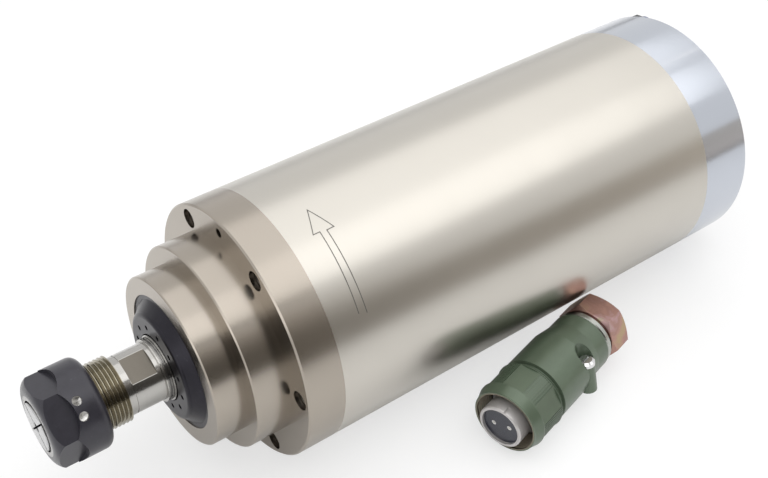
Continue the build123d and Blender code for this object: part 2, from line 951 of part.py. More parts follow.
def make_shaft():
    seat = front_bearing_bore / 2
    thread = nose_thread_diameter / 2
    root = thread - nose_thread_depth
    c = nose_thread_depth
    thread_end = nose_thread_end - thread_relief_length
    taper_end = collet_face + collet_length + taper_extra_depth
    shoulder_end = front_bearing_end + shaft_shoulder_length
    neck_end = carrier_start - shaft_carrier_gap
    shaft = turned(
        (shaft_face, collet_radius(shaft_face) + taper_clearance),
        (shaft_face, thread - c),
        (shaft_face + c, thread),
        *thread_edge(shaft_face + c, thread_end, nose_thread_pitch, thread, root),
        (thread_end, thread),
        (thread_end, root),
        (nose_thread_end, root),
        (nose_thread_end, nose_radius),
        (collar_start, nose_radius),
        (collar_start, nose_radius - nose_groove_depth),
        (collar_start + nose_groove_width, nose_radius - nose_groove_depth),
        (collar_start + nose_groove_width, nose_radius),
        (labyrinth_start, nose_radius),
        (labyrinth_start, labyrinth_radius),
        (seat_start, labyrinth_radius),
        (seat_start, seat),
        (front_bearing_end, seat),
        (front_bearing_end, shaft_shoulder_radius),
        (shoulder_end, shaft_shoulder_radius),
        (shoulder_end, shaft_neck_radius),
        (stator_start, shaft_neck_radius),
        (stator_start, rotor_seat_radius),
        (stator_end, rotor_seat_radius),
        (stator_end, shaft_neck_radius),
        (neck_end, shaft_neck_radius),
        (neck_end, shaft_rear_radius),
        (rear_bearing_start, shaft_rear_radius),
        (rear_bearing_start, rear_bearing_bore / 2),
        (shaft_tail_end, rear_bearing_bore / 2),
        (shaft_tail_end, 0),
        (taper_end, 0),
        (taper_end, collet_radius(taper_end) + taper_clearance),
    )
    shaft -= rod(taper_end - cut_margin, stator_start, draw_bore_diameter / 2)
    for n in range(labyrinth_groove_count):
        x = labyrinth_start + labyrinth_groove_setback + n * labyrinth_groove_pitch
        shaft -= ring(
            x,
            x + labyrinth_groove_width,
            labyrinth_radius - labyrinth_groove_depth,
            labyrinth_radius + cut_margin,
        )
    flat_end = labyrinth_start - wrench_flat_setback
    flat_height = 2 * wrench_flat_depth
    cutter = Box(wrench_flat_length, 2 * nose_radius, flat_height)
    for turn in (0, 180):
        place = Pos(flat_end - wrench_flat_length / 2, 0, nose_radius - wrench_flat_depth + flat_height / 2)
        shaft -= facing(wrench_flat_angle + turn) * place * cutter
    return shaft


def make_lock_ring(start, end, bore, wall, slot_x):
    """A threaded ring with tool slots open at the station slot_x."""
    outer = bore / 2 + wall
    lock = broken_ring(start, end, bore / 2, outer, small_edge)
    slot = Pos(slot_x, 0, outer) * Box(end - start, lock_slot_width, 2 * lock_slot_depth)
    for n in range(lock_slot_count):
        lock -= Rot(X=360 / lock_slot_count * n) * slot
    return lock


def make_front_lock_ring():
    start = front_bearing_start - front_lock_length
    return make_lock_ring(start, front_bearing_start, front_bearing_bore, front_lock_wall, start)


def make_rear_lock_ring():
    return make_lock_ring(rear_bearing_end, rear_lock_end, rear_bearing_bore, rear_lock_wall, rear_lock_end)


def make_rotor_core():
    core = ring(stator_start, stator_end, rotor_seat_radius, rotor_radius)
    hole = rotor_bar_diameter / 2 + rotor_bar_clearance
    bar = rod(stator_start - cut_margin, stator_end + cut_margin, hole)
    for place in around(rotor_bar_count, rotor_bar_circle):
        core -= place * bar
    return core


def make_rotor_cage():
    outer = rotor_bar_circle + rotor_bar_diameter / 2 + small_edge
    inner = rotor_seat_radius + end_ring_step
    front = ring(stator_start - end_ring_length, stator_start, inner, outer)
    rear = ring(stator_end, stator_end + end_ring_length, inner, outer)
    bar = rod(stator_start - end_ring_margin, stator_end + end_ring_margin, rotor_bar_diameter / 2)
    bars = [place * bar for place in around(rotor_bar_count, rotor_bar_circle)]
    return front.fuse(rear, *bars)


# Collet, its nut and the ring that pulls the collet out

def make_collet():
    groove_start = collet_face + collet_lip_length
    groove_end = groove_start + collet_groove_length
    back = collet_face + collet_length
    bore = collet_bore / 2
    c = ring_edge
    collet = turned(
        (collet_face, bore + c),
        (collet_face, collet_lip_radius - c),
        (collet_face + c, collet_lip_radius),
        (groove_start, collet_lip_radius),
        (groove_start, collet_groove_radius),
        (groove_end, collet_groove_radius),
        (groove_end, collet_lip_radius),
        (collet_large_x, collet_large_diameter / 2),
        (back, collet_radius(back)),
        (back, bore),
        (collet_face + c, bore),
    )
    slit = Box(collet_length, collet_slit_width, collet_large_diameter + cut_margin)
    middle = collet_face + collet_length / 2
    for n in range(collet_slit_count // 2):
        turn = collet_slit_phase + 360 / collet_slit_count * n
        collet -= facing(turn) * Pos(middle - collet_slit_stop, 0, 0) * slit
        rear_turn = turn + 180 / collet_slit_count
        collet -= facing(rear_turn) * Pos(middle + collet_head_length, 0, 0) * slit
    return collet


def make_collet_nut():
    outer = nut_radius
    face = outer - nut_dome_width
    mouth = collet_lip_radius + nut_mouth_clearance
    bore = nut_bore_radius
    dome_end = nut_face + nut_dome_length
    chord = hypot(nut_dome_length, nut_dome_width)
    bulge_x = (nut_face + dome_end) / 2 - nut_dome_bulge * nut_dome_width / chord
    bulge_radius = (face + outer) / 2 + nut_dome_bulge * nut_dome_length / chord
    r = nut_rear_round
    wall_back = nut_face + nut_front_wall
    outline = [
        Line((nut_face, mouth), (nut_face, face)),
        ThreePointArc((nut_face, face), (bulge_x, bulge_radius), (dome_end, outer)),
        Line((dome_end, outer), (nut_rear - r, outer)),
        RadiusArc((nut_rear - r, outer), (nut_rear, outer - r), r),
        Polyline(
            (nut_rear, outer - r),
            (nut_rear, bore + nut_entry_chamfer),
            (nut_rear - nut_entry_chamfer, bore),
            (wall_back, bore),
            (wall_back, mouth),
            (nut_face, mouth),
        ),
    ]
    nut = revolve(make_face(outline), Axis.X)
    height = 2 * nut_flat_depth
    cutter_x = nut_face + nut_flat_length - nut_cutter_radius
    cutter = Pos(cutter_x, 0, outer - nut_flat_depth + height / 2) * Cylinder(nut_cutter_radius, height)
    for n in range(nut_flat_count):
        nut -= facing(nut_flat_phase + 360 / nut_flat_count * n) * cutter
    hole = balance_hole_diameter / 2
    tip = Pos(0, 0, -balance_hole_depth - balance_tip_depth / 2) * Cone(0, hole, balance_tip_depth)
    drill = Cylinder(hole, 2 * balance_hole_depth) + tip
    for angle in balance_hole_angles:
        nut -= facing(angle) * Pos(nut_rear - balance_hole_setback, 0, outer) * drill
    return nut


def make_clamp_ring():
    start = nut_face + nut_front_wall
    lip_end = start + clamp_ring_lip
    lip_radius = collet_lip_radius - clamp_ring_lip_depth
    gap = taper_clearance / cos(radians(collet_front_angle))
    return turned(
        (start, lip_radius),
        (lip_end, lip_radius),
        (collet_large_x - cone_length, collet_lip_radius + gap),
        (collet_large_x, collet_large_diameter / 2 + gap),
        (collet_large_x, nut_bore_radius),
        (start, nut_bore_radius),
    )


# Rear bearing carrier, spring and cap

def make_rear_carrier():
    lip_end = carrier_start + carrier_lip
    bearing = rear_bearing_outer / 2
    carrier = turned(
        (carrier_start, bearing - carrier_lip_width),
        (lip_end, bearing - carrier_lip_width),
        (lip_end, bearing),
        (cap_spigot_start, bearing),
        (cap_spigot_start, carrier_radius - spigot_clearance),
        (carrier_start, carrier_radius - spigot_clearance),
    )
    hole = rod(carrier_start - cut_margin, cap_spigot_start + cut_margin, lead_hole_diameter / 2)
    for angle in lead_angles():
        carrier -= polar(lead_circle, angle) * hole
    return carrier


def make_preload_spring():
    start = carrier_start + carrier_lip
    outer = rear_bearing_outer / 2 - spring_clearance
    land = pitch_radius(rear_bearing_bore, rear_bearing_outer) + rear_bearing_ball / 2 * land_ratio
    inner = land + spring_land
    return turned(
        (start, outer),
        (start + spring_thickness, outer),
        (rear_bearing_start, inner),
        (rear_bearing_start - spring_thickness, inner),
    )


def socket_screw_places():
    return [
        Pos(0, side * socket_screw_half, height * socket_screw_half)
        for side in (-1, 1)
        for height in (-1, 1)
    ]


def make_rear_cap():
    c = cap_chamfer
    cap = turned(
        (cap_spigot_start, cap_cavity_radius),
        (cap_spigot_start, carrier_radius - spigot_clearance),
        (cap_front, carrier_radius - spigot_clearance),
        (cap_front, body_radius),
        (cap_back - c, body_radius),
        (cap_back, body_radius - c),
        (cap_back, 0),
        (cap_cavity_end, 0),
        (cap_cavity_end, cap_cavity_radius),
    )
    before = cap_front - cut_margin
    behind = cap_back + cut_margin
    for place in around(cap_screw_count, screw_circle):
        cap -= place * rod(cap_back - cap_counterbore_depth, behind, counterbore_diameter / 2)
        cap -= place * rod(before, behind, screw_hole_diameter / 2)
    port = fitting_stud_diameter / 2 + fitting_port_clearance
    seal_inner = (port_seal_diameter - port_seal_section) / 2
    seal_groove = ring(before, cap_front + port_seal_section, seal_inner, seal_inner + port_seal_section)
    port_end = cap_back - fitting_port_depth
    for angle in (feed_angle, return_angle):
        cap -= polar(fitting_circle, angle) * rod(port_end, behind, port)
        cap -= polar(duct_circle, angle) * rod(before, port_end + cut_margin, duct_diameter / 2)
        cap -= polar(duct_circle, angle) * seal_groove
    socket_hole = rod(cap_cavity_end - cut_margin, behind, socket_tail_radius + socket_hole_clearance)
    cap -= socket_hole
    tapped = rod(cap_back - socket_screw_depth, behind, socket_screw_diameter / 2 + thread_clearance)
    for place in socket_screw_places():
        cap -= place * tapped
    return cap


def make_cap_screws():
    seat = cap_back - cap_counterbore_depth
    screw = cap_screw(screw_diameter, cap_screw_length, screw_head_diameter, screw_head_length)
    places = around(cap_screw_count, screw_circle)
    return [place * Pos(seat, 0, 0) * Rot(Z=180) * screw for place in places]


# Water fittings

def fitting_place(angle):
    """Where a fitting drawn on the axis goes, with a corner of its hexagon outwards."""
    return polar(fitting_circle, angle) * facing(angle)


def chamfered_hex(start, end, across_flats, edge, turn):
    """A hexagonal bar with its corners broken at both ends."""
    corner = across_flats / 2 / cos(radians(30))
    return hex_prism(start, end, across_flats, turn) & turned(
        (start, 0),
        (start, corner - edge),
        (start + edge * 0.6, corner),
        (end - edge * 0.6, corner),
        (end, corner - edge),
        (end, 0),
    )


def make_fitting_body(angle):
    stud_start = cap_back - fitting_stud_length
    hose = hose_bore / 2
    body = chamfered_hex(cap_back, fitting_mouth, fitting_hex_width, fitting_hex_chamfer, 30)
    body += rod(stud_start, cap_back, fitting_stud_diameter / 2)
    seal_start = hose_bore_start + fitting_seal_setback
    seal_end = seal_start + fitting_seal_groove_width
    groove = hose + fitting_seal_section
    body -= turned(
        (stud_start - cut_margin, 0),
        (stud_start - cut_margin, fitting_water_bore / 2),
        (hose_bore_start, fitting_water_bore / 2),
        (hose_bore_start, hose),
        (seal_start, hose),
        (seal_start, groove),
        (seal_end, groove),
        (seal_end, hose),
        (guide_seat, hose),
        (guide_seat, guide_radius),
        (fitting_mouth + cut_margin, guide_radius),
        (fitting_mouth + cut_margin, 0),
    )
    return fitting_place(angle) * body


def make_fitting_guide(angle):
    return fitting_place(angle) * ring(guide_seat, fitting_mouth, guide_bore_radius, guide_radius)


def make_fitting_seals():
    middle = hose_bore_start + fitting_seal_setback + fitting_seal_groove_width / 2
    seal = seal_ring(middle, (hose_bore + fitting_seal_section) / 2, fitting_seal_section)
    return [fitting_place(angle) * seal for angle in (feed_angle, return_angle)]


def make_release_ring(angle):
    start = fitting_mouth - release_overlap
    flange = fitting_mouth + release_travel + release_clearance
    end = flange + release_flange_length
    edge = release_tube_radius + release_flange_width
    e = release_edge
    body = turned(
        (start, release_bore_radius),
        (start, release_tube_radius),
        (flange, release_tube_radius),
        (flange, edge),
        (end - e, edge),
        (end, edge - e),
        (end, release_bore_radius + e),
        (end - e, release_bore_radius),
    )
    return fitting_place(angle) * body


# Power socket on the rear cap

def socket_plate(start, thickness):
    outline = RectangleRounded(socket_flange_width, socket_flange_width, socket_corner_radius)
    return extrude(Plane.YZ.offset(start) * outline, thickness)


def make_socket_shell():
    barrel = socket_barrel_radius
    body = turned(
        (socket_tail_start, socket_bore_radius),
        (socket_tail_start, socket_tail_radius),
        (socket_flange_end, socket_tail_radius),
        (socket_flange_end, barrel),
        *thread_edge(
            socket_flange_end + cut_margin,
            socket_mouth,
            socket_thread_pitch,
            barrel,
            barrel - socket_thread_depth,
        ),
        (socket_mouth, barrel),
        (socket_mouth, socket_bore_radius),
    )
    flange = socket_plate(socket_flange_start, socket_flange_thickness)
    before = socket_flange_start - cut_margin
    behind = socket_flange_end + cut_margin
    flange -= rod(before, behind, (socket_bore_radius + socket_tail_radius) / 2)
    hole = rod(before, behind, socket_screw_diameter / 2 + socket_screw_clearance)
    for place in socket_screw_places():
        flange -= place * hole
    key_turn = plug_key_angle + socket_contact_phase - plug_contact_phase
    key_root = socket_bore_radius + socket_barrel_wall / 2
    key_tip = plug_ring_radius - plug_key_depth + socket_key_clearance
    key_start = socket_flange_start + socket_insulator_step
    key = Pos((key_start + socket_mouth) / 2, 0, (key_tip + key_root) / 2) * Box(
        socket_mouth - key_start, plug_key_width - 2 * socket_key_clearance, key_root - key_tip
    )
    return body + flange + facing(key_turn) * key


def make_socket_gasket():
    before = cap_back - cut_margin
    behind = socket_flange_start + cut_margin
    gasket = socket_plate(cap_back, socket_gasket_thickness)
    gasket -= rod(before, behind, socket_tail_radius + socket_hole_clearance)
    hole = rod(before, behind, socket_screw_diameter / 2 + socket_screw_clearance)
    for place in socket_screw_places():
        gasket -= place * hole
    return gasket


def make_socket_insulator():
    step = socket_flange_start + socket_insulator_step
    nose_end = socket_mouth - socket_insulator_setback
    nose = plug_ring_bore - socket_nose_clearance
    insulator = turned(
        (socket_tail_start, 0),
        (socket_tail_start, socket_bore_radius),
        (step, socket_bore_radius),
        (step, nose),
        (nose_end, nose),
        (nose_end, 0),
    )
    hole = rod(socket_tail_start - cut_margin, nose_end + cut_margin, socket_pin_diameter / 2)
    for place in around(contact_count, contact_circle_diameter / 2, socket_contact_phase):
        insulator -= place * hole
    return insulator


def make_socket_pins():
    end = socket_mouth - socket_insulator_setback
    pin = rod(socket_tail_start - socket_pin_tail, end, socket_pin_diameter / 2)
    return [place * pin for place in around(contact_count, contact_circle_diameter / 2, socket_contact_phase)]


def make_socket_screws():
    length = socket_flange_end - cap_back + socket_screw_depth - socket_screw_tip_gap
    screw = pan_screw(
        socket_screw_diameter,
        length,
        socket_screw_head_diameter,
        socket_screw_head_length,
        socket_screw_slot_width,
    )
    placed = Pos(socket_flange_end, 0, 0) * Rot(Z=180) * screw
    return [place * placed for place in socket_screw_places()]


# Cable plug, drawn along +X from its front ring and then laid beside the body

def make_plug_ring():
    collar_end = coupling_neck_start - plug_collar_play
    collar = collar_end - plug_collar_length
    edge = small_edge
    outer = plug_ring_radius
    body = turned(
        (0, plug_ring_bore),
        (0, outer - edge),
        (edge, outer),
        (collar, outer),
        (collar, outer + plug_collar_width),
        (collar_end, outer + plug_collar_width),
        (collar_end, outer),
        (plug_ring_length, outer),
        (plug_ring_length, plug_ring_bore),
    )
    key = Pos(0, 0, outer) * Box(2 * coupling_setback, plug_key_width, 2 * plug_key_depth)
    return plug_place * (body - facing(plug_key_angle) * key)


def make_plug_insulator():
    end = plug_insulator_recess + plug_insulator_length
    body = rod(plug_insulator_recess, end, plug_ring_bore)
    hole = rod(plug_insulator_recess - cut_margin, end + cut_margin, plug_contact_diameter / 2)
    for place in around(contact_count, contact_circle_diameter / 2, plug_contact_phase):
        body -= place * hole
    return plug_place * body


def make_plug_contacts():
    start = plug_insulator_recess + plug_contact_recess
    end = plug_insulator_recess + plug_insulator_length + plug_contact_tail
    radius = plug_contact_diameter / 2
    contact = rod(start, end, radius)
    contact -= rod(start - cut_margin, start + plug_contact_hole_depth, radius - plug_contact_wall)
    places = around(contact_count, contact_circle_diameter / 2, plug_contact_phase)
    return [plug_place * place * contact for place in places]


def make_plug_coupling():
    outer = coupling_radius
    front = coupling_setback
    bore = coupling_bore_radius
    body = turned(
        (front, bore),
        (front, outer - coupling_cone_depth),
        (front + coupling_lip, outer - coupling_cone_depth),
        (front + coupling_lip + coupling_cone_length, outer),
        (coupling_end - coupling_edge, outer),
        (coupling_end, outer - coupling_edge),
        (coupling_end, coupling_neck_radius),
        (coupling_neck_start, coupling_neck_radius),
        (coupling_neck_start, bore),
        *reversed(
            thread_edge(
                front + coupling_edge,
                coupling_neck_start - plug_collar_length,
                socket_thread_pitch,
                bore,
                bore + socket_thread_depth,
            )
        ),
    )
    start = coupling_setback + coupling_rib_front
    end = coupling_end - coupling_rib_rear
    groove = Pos((start + end) / 2, 0, outer) * Box(end - start, coupling_rib_width, 2 * coupling_rib_depth)
    flat = Pos((start + end) / 2, 0, outer) * Box(end - start, outer, 2 * coupling_flat_depth)
    patch_turn = 360 / coupling_rib_patches
    for patch in range(coupling_rib_patches):
        middle = coupling_rib_phase + patch_turn * patch
        body -= facing(middle + patch_turn / 2) * flat
        for n in range(coupling_rib_count):
            turn = middle + (n - (coupling_rib_count - 1) / 2) * coupling_rib_pitch
            body -= facing(turn) * groove
    return plug_place * body


def ear_place(height):
    """A place on the side screw's upright axis, at this height above the plug's axis."""
    return Pos(shell_start + ear_station, -ear_offset, height)


def make_plug_shell():
    neck_end = shell_start + shell_neck_length
    front_end = neck_end + shell_front_length
    rear = shell_rear_radius
    neck = shell_radius - shell_neck_depth
    edge = small_edge
    r = shell_round
    outline = [
        Polyline(
            (shell_end - r, rear),
            (front_end + shell_taper_length, rear),
            (front_end, shell_radius),
            (neck_end + edge, shell_radius),
            (neck_end, neck),
            (shell_start + edge, neck),
            (shell_start, neck - edge),
            (shell_start, 0),
            (shell_end, 0),
            (shell_end, rear - r),
        ),
        RadiusArc((shell_end - r, rear), (shell_end, rear - r), r),
    ]
    body = revolve(make_face(outline), Axis.X)
    ear_height = ear_rise + ear_drop
    body += ear_place((ear_rise - ear_drop) / 2) * Cylinder(ear_diameter / 2, ear_height)
    spot_face = Cylinder(spot_face_diameter / 2, shell_radius)
    body -= ear_place(ear_rise + shell_radius / 2) * spot_face
    cavity_start = shell_start + shell_front_wall
    ring_bore = plug_ring_radius + shell_ring_clearance
    body -= rod(shell_start - cut_margin, cavity_start + cut_margin, ring_bore)
    body -= rod(cavity_start, shell_end + cut_margin, shell_cavity_radius)
    body -= ear_place(0) * Cylinder(side_screw_diameter / 2 + thread_clearance, 2 * shell_radius)
    return plug_place * body


def make_plug_side_screw():
    screw = pan_screw(
        side_screw_diameter,
        side_screw_length,
        side_screw_head_diameter,
        side_screw_head_length,
        side_screw_slot_width,
    )
    return plug_place * ear_place(ear_rise) * Rot(Y=90) * screw


def make_plug_washer():
    washer = broken_ring(shell_end, washer_end, shell_cavity_radius, washer_radius, plug_washer_edge)
    return plug_place * washer


def tube_direction():
    """Angle round the rolled plug's axis, from its top, at which the body's tube is nearest."""
    sideways = -clamp_nut_y * cos(radians(plug_turn))
    return degrees(atan2(-sideways, -plug_axis_height)) - plug_roll


def make_plug_clamp_nut():
    width = clamp_nut_width
    nut = chamfered_hex(clamp_nut_start, clamp_nut_end, width, clamp_nut_chamfer, tube_direction())
    tail = shell_end - clamp_nut_tail_length
    nut += rod(tail, washer_end, clamp_nut_tail_radius)
    nut += rod(washer_end, clamp_nut_start, width / 2 - clamp_nut_neck_depth)
    nut -= rod(tail - cut_margin, clamp_nut_end + cut_margin, clamp_nut_bore_radius)
    return plug_place * nut


def make_plug_grommet():
    start = shell_end - clamp_nut_tail_length
    end = clamp_nut_end - grommet_setback
    return plug_place * ring(start, end, grommet_bore / 2, clamp_nut_bore_radius)


nodes = {
    "front_housing": make_front_housing(),
    "front_housing_screws": make_front_screws(),
    "dust_cover": make_dust_cover(),
    "body_tube": make_body_tube(),
    "cooling_jacket": make_cooling_jacket(),
    "jacket_seals": make_jacket_seals(),
    "port_seals": make_port_seals(),
    "stator_core": make_stator_core(),
    "stator_winding": make_stator_winding(),
    "motor_leads": make_motor_leads(),
    "front_bearing_outer_rings": make_outer_rings(*front_pair),
    "front_bearing_inner_rings": make_inner_rings(*front_pair),
    "front_bearing_balls": make_balls(front_ball_count, *front_pair),
    "front_bearing_cages": make_cages(front_ball_count, *front_pair),
    "front_outer_spacer": make_outer_spacer(*front_pair),
    "front_inner_spacer": make_inner_spacer(*front_pair),
    "front_lock_ring": make_front_lock_ring(),
    "rear_bearing_outer_rings": make_outer_rings(*rear_pair),
    "rear_bearing_inner_rings": make_inner_rings(*rear_pair),
    "rear_bearing_balls": make_balls(rear_ball_count, *rear_pair),
    "rear_bearing_cages": make_cages(rear_ball_count, *rear_pair),
    "rear_outer_spacer": make_outer_spacer(*rear_pair),
    "rear_inner_spacer": make_inner_spacer(*rear_pair),
    "rear_lock_ring": make_rear_lock_ring(),
    "rear_bearing_carrier": make_rear_carrier(),
    "preload_spring": make_preload_spring(),
    "rear_cap": make_rear_cap(),
    "rear_cap_screws": make_cap_screws(),
    "shaft": make_shaft(),
    "rotor_core": make_rotor_core(),
    "rotor_cage": make_rotor_cage(),
    "collet": make_collet(),
    "collet_nut": make_collet_nut(),
    "collet_clamp_ring": make_clamp_ring(),
    "water_inlet_body": make_fitting_body(feed_angle),
    "water_inlet_guide": make_fitting_guide(feed_angle),
    "water_inlet_release_ring": make_release_ring(feed_angle),
    "water_outlet_body": make_fitting_body(return_angle),
    "water_outlet_guide": make_fitting_guide(return_angle),
    "water_outlet_release_ring": make_release_ring(return_angle),
    "fitting_seals": make_fitting_seals(),
    "socket_shell": make_socket_shell(),
    "socket_gasket": make_socket_gasket(),
    "socket_insulator": make_socket_insulator(),
    "socket_pins": make_socket_pins(),
    "socket_screws": make_socket_screws(),
    "plug_ring": make_plug_ring(),
    "plug_insulator": make_plug_insulator(),
    "plug_contacts": make_plug_contacts(),
    "plug_coupling_nut": make_plug_coupling(),
    "plug_shell": make_plug_shell(),
    "plug_side_screw": make_plug_side_screw(),
    "plug_washer": make_plug_washer(),
    "plug_clamp_nut": make_plug_clamp_nut(),
    "plug_grommet": make_plug_grommet(),
}

os.makedirs("parts", exist_ok=True)
for name, shape in nodes.items():
    solid = Compound(children=list(shape)) if isinstance(shape, list) else shape
    export_step(solid, f"parts/{name}.step")
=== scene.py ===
"""Finishes, fine detail and studio for a water-cooled milling spindle and its cable plug."""

import math

import bmesh
import bpy
from bpy.props import FloatProperty, FloatVectorProperty, PointerProperty
from bpy.types import Operator, Panel, PropertyGroup
from mathutils import Euler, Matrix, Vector


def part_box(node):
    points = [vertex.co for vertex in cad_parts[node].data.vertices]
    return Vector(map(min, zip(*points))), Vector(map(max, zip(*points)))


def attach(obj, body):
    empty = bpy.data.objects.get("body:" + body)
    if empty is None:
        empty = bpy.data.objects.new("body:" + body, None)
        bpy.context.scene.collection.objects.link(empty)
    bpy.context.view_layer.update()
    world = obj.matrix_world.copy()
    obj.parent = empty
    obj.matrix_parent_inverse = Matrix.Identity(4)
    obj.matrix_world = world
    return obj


bl_info = {
    "name": "Water-cooled spindle",
    "version": (1, 0, 0),
    "blender": (4, 5, 0),
    "location": "3D View > Sidebar > Spindle",
    "description": "Finishes, fine detail and a studio for a water-cooled milling spindle",
    "category": "Object",
}

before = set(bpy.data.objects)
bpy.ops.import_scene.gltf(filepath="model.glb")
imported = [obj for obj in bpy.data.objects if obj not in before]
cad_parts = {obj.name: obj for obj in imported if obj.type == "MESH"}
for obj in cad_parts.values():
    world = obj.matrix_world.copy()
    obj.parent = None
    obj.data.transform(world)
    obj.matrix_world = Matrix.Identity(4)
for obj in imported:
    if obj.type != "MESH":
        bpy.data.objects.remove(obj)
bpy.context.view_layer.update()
TUBE_FRONT, TUBE_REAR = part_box("body_tube")
BODY_RADIUS = TUBE_REAR.z
FLOOR_HEIGHT = TUBE_FRONT.z
MM = 0.001

# Millimetres along and across the body's axis, where one piece changes its finish.
NOSE_RADIUS = 11.0
FLAT_FRONT = -153.7
FLAT_REAR = -144.3
THREAD_REAR = -156.3
NUT_RADIUS = 17.0
NUT_FACE = -185.77
MOUTH_INNER = 9.0
MOUTH_OUTER = 11.2
DRILLED = -173.87
DRILL_RADIUS = 1.65
DRILL_DEPTH = 2.6

# The loose plug: its front centre in millimetres, its turn on the floor, its roll, and the bore of
# its coupling nut.
PLUG_FRONT = Vector((-40.15, -70.374, -35.3))
PLUG_TURN = math.radians(15)
PLUG_ROLL = math.radians(-12)
PLUG_BORE_RADIUS = 13.0
PLUG_BORE_END = 16.0


def finish_colour(name, description, default):
    """A colour that the user may change."""
    return FloatVectorProperty(
        name=name, description=description, default=default, size=3, min=0, max=1, subtype="COLOR"
    )


def share(name, description, default):
    """A number from 0 to 1 that the user may change."""
    return FloatProperty(name=name, description=description, default=default, min=0, max=1, subtype="FACTOR")


def length(name, description, millimetres):
    """A length that the user may change."""
    return FloatProperty(name=name, description=description, default=millimetres * MM, unit="LENGTH")


def angle(name, description, degrees):
    """An angle that the user may change."""
    return FloatProperty(name=name, description=description, default=math.radians(degrees), unit="ROTATION")


def strength(name, description, default):
    """A brightness that the user may change."""
    return FloatProperty(name=name, description=description, default=default, min=0)


class SpindleFinishes(PropertyGroup):
    """Colours and gloss of the spindle's finishes."""

    tube_colour: finish_colour("Tube colour", "Satin steel of the body tube", (0.53, 0.505, 0.46))
    tube_roughness: share("Tube roughness", "How far the tube blurs reflections", 0.29)
    housing_colour: finish_colour("Housing colour", "Warm nickel of the front housing", (0.37, 0.333, 0.288))
    housing_roughness: share("Housing roughness", "How far the front housing blurs reflections", 0.24)
    cap_colour: finish_colour("Cap colour", "Cool aluminium of the rear cap", (0.50, 0.525, 0.575))
    cap_roughness: share("Cap roughness", "How far the rear cap blurs reflections", 0.16)
    shaft_colour: finish_colour("Shaft colour", "Ground steel of the shaft", (0.42, 0.41, 0.39))
    nut_colour: finish_colour("Nut colour", "Black oxide of the collet nut", (0.022, 0.021, 0.027))
    cover_colour: finish_colour("Cover colour", "Black oxide of the dust cover", (0.014, 0.013, 0.017))
    plug_colour: finish_colour("Plug colour", "Green enamel of the cable plug", (0.098, 0.132, 0.088))
    clamp_colour: finish_colour("Clamp nut colour", "Rose zinc of the clamp nut", (0.42, 0.245, 0.205))
    insert_colour: finish_colour("Insert colour", "Dark moulding round the contacts", (0.016, 0.018, 0.030))


class SpindleArrow(PropertyGroup):
    """The plain arrow that is etched on the tube."""

    tip: length("Tip", "Arrow tip behind the tube's front edge", 13.6)
    line_width: length("Line width", "Width of the etched line", 0.34)
    line_depth: length("Line height", "Thickness of the line's filling", 0.04)
    step: length("Step", "Longest straight run round the tube", 1.5)


class SpindleStudio(PropertyGroup):
    """Camera, lamps and floor."""

    azimuth: angle("Azimuth", "Camera angle round the spindle", -36.62)
    elevation: angle("Elevation", "Camera angle above the floor", 40.14)
    distance: length("Distance", "Camera distance from its target", 463.9)
    lens: FloatProperty(name="Lens", description="Focal length of the camera", default=56.67, unit="CAMERA")
    floor_colour: finish_colour("Floor colour", "Pale floor", (0.95, 0.95, 0.95))
    floor_lift: share("Floor lift", "How far shadows on the floor are lightened", 0.65)
    ambient: strength("Ambient light", "Strength of the even light", 0.30)
    key_light: strength("Key light", "Radiance of the soft lamp before the body", 2.0)
    fill_light: strength("Fill light", "Radiance of the soft lamp above the body", 1.6)
    edge_light: strength("Edge light", "Radiance of the lamp at the nose", 2.0)


class Wire:
    """A number on a shader socket that takes part in plain arithmetic."""

    def __init__(self, graph, socket):
        self.graph = graph
        self.socket = socket

    def maths(self, operation, *others):
        """One step of arithmetic on this number and others."""
        return self.graph.wire("ShaderNodeMath", {"operation": operation}, dict(enumerate((self, *others))))

    def __add__(self, other):
        return self.maths("ADD", other)

    def __radd__(self, other):
        return self.maths("ADD", other)

    def __sub__(self, other):
        return self.maths("SUBTRACT", other)

    def __rsub__(self, other):
        return self.maths("MULTIPLY_ADD", -1, other)

    def __mul__(self, other):
        return self.maths("MULTIPLY", other)

    def __rmul__(self, other):
        return self.maths("MULTIPLY", other)

    def __truediv__(self, other):
        return self.maths("DIVIDE", other)

    def __pow__(self, other):
        return self.maths("POWER", other)

    def __lt__(self, other):
        return self.maths("LESS_THAN", other)


class Graph:
    """A node tree that is written as Python expressions."""

    def __init__(self, owner):
        owner.use_nodes = True
        self.tree = owner.node_tree
        self.tree.nodes.clear()

    def node(self, kind, settings=None, inputs=None):
        """Adds a node, sets what it is, then fills its sockets with values or links."""
        made = self.tree.nodes.new(kind)
        for key, value in (settings or {}).items():
            if key == "stops":
                self.set_stops(made.color_ramp.elements, value)
            else:
                setattr(made, key, value)
        for key, value in (inputs or {}).items():
            self.feed(made.inputs[key], value)
        return made

    def wire(self, kind, settings=None, inputs=None, output=0):
        """Adds a node and wraps one of its outputs."""
        return Wire(self, self.node(kind, settings, inputs).outputs[output])

    def feed(self, socket, value):
        """Puts a value or a link on a socket."""
        if isinstance(value, Wire):
            value = value.socket
        if isinstance(value, bpy.types.NodeSocket):
            self.tree.links.new(value, socket)
        elif socket.type == "RGBA":
            socket.default_value = (*value[:3], 1)
        else:
            socket.default_value = value

    def ray(self, kind):
        """One for rays of this kind, zero for the rest."""
        return Wire(self, self.node("ShaderNodeLightPath").outputs[f"Is {kind} Ray"])

    def seen(self):
        """One for rays from the camera and for mirrored or transmitted rays, zero for the rest."""
        return 1 - (1 - self.ray("Camera")) * (1 - self.ray("Glossy")) * (1 - self.ray("Transmission"))

    @staticmethod
    def set_stops(elements, stops):
        """Gives a colour ramp its positions and colours."""
        while len(elements) < len(stops):
            elements.new(1)
        for element, (position, colour) in zip(elements, stops):
            element.position = position
            element.color = (*colour, 1)


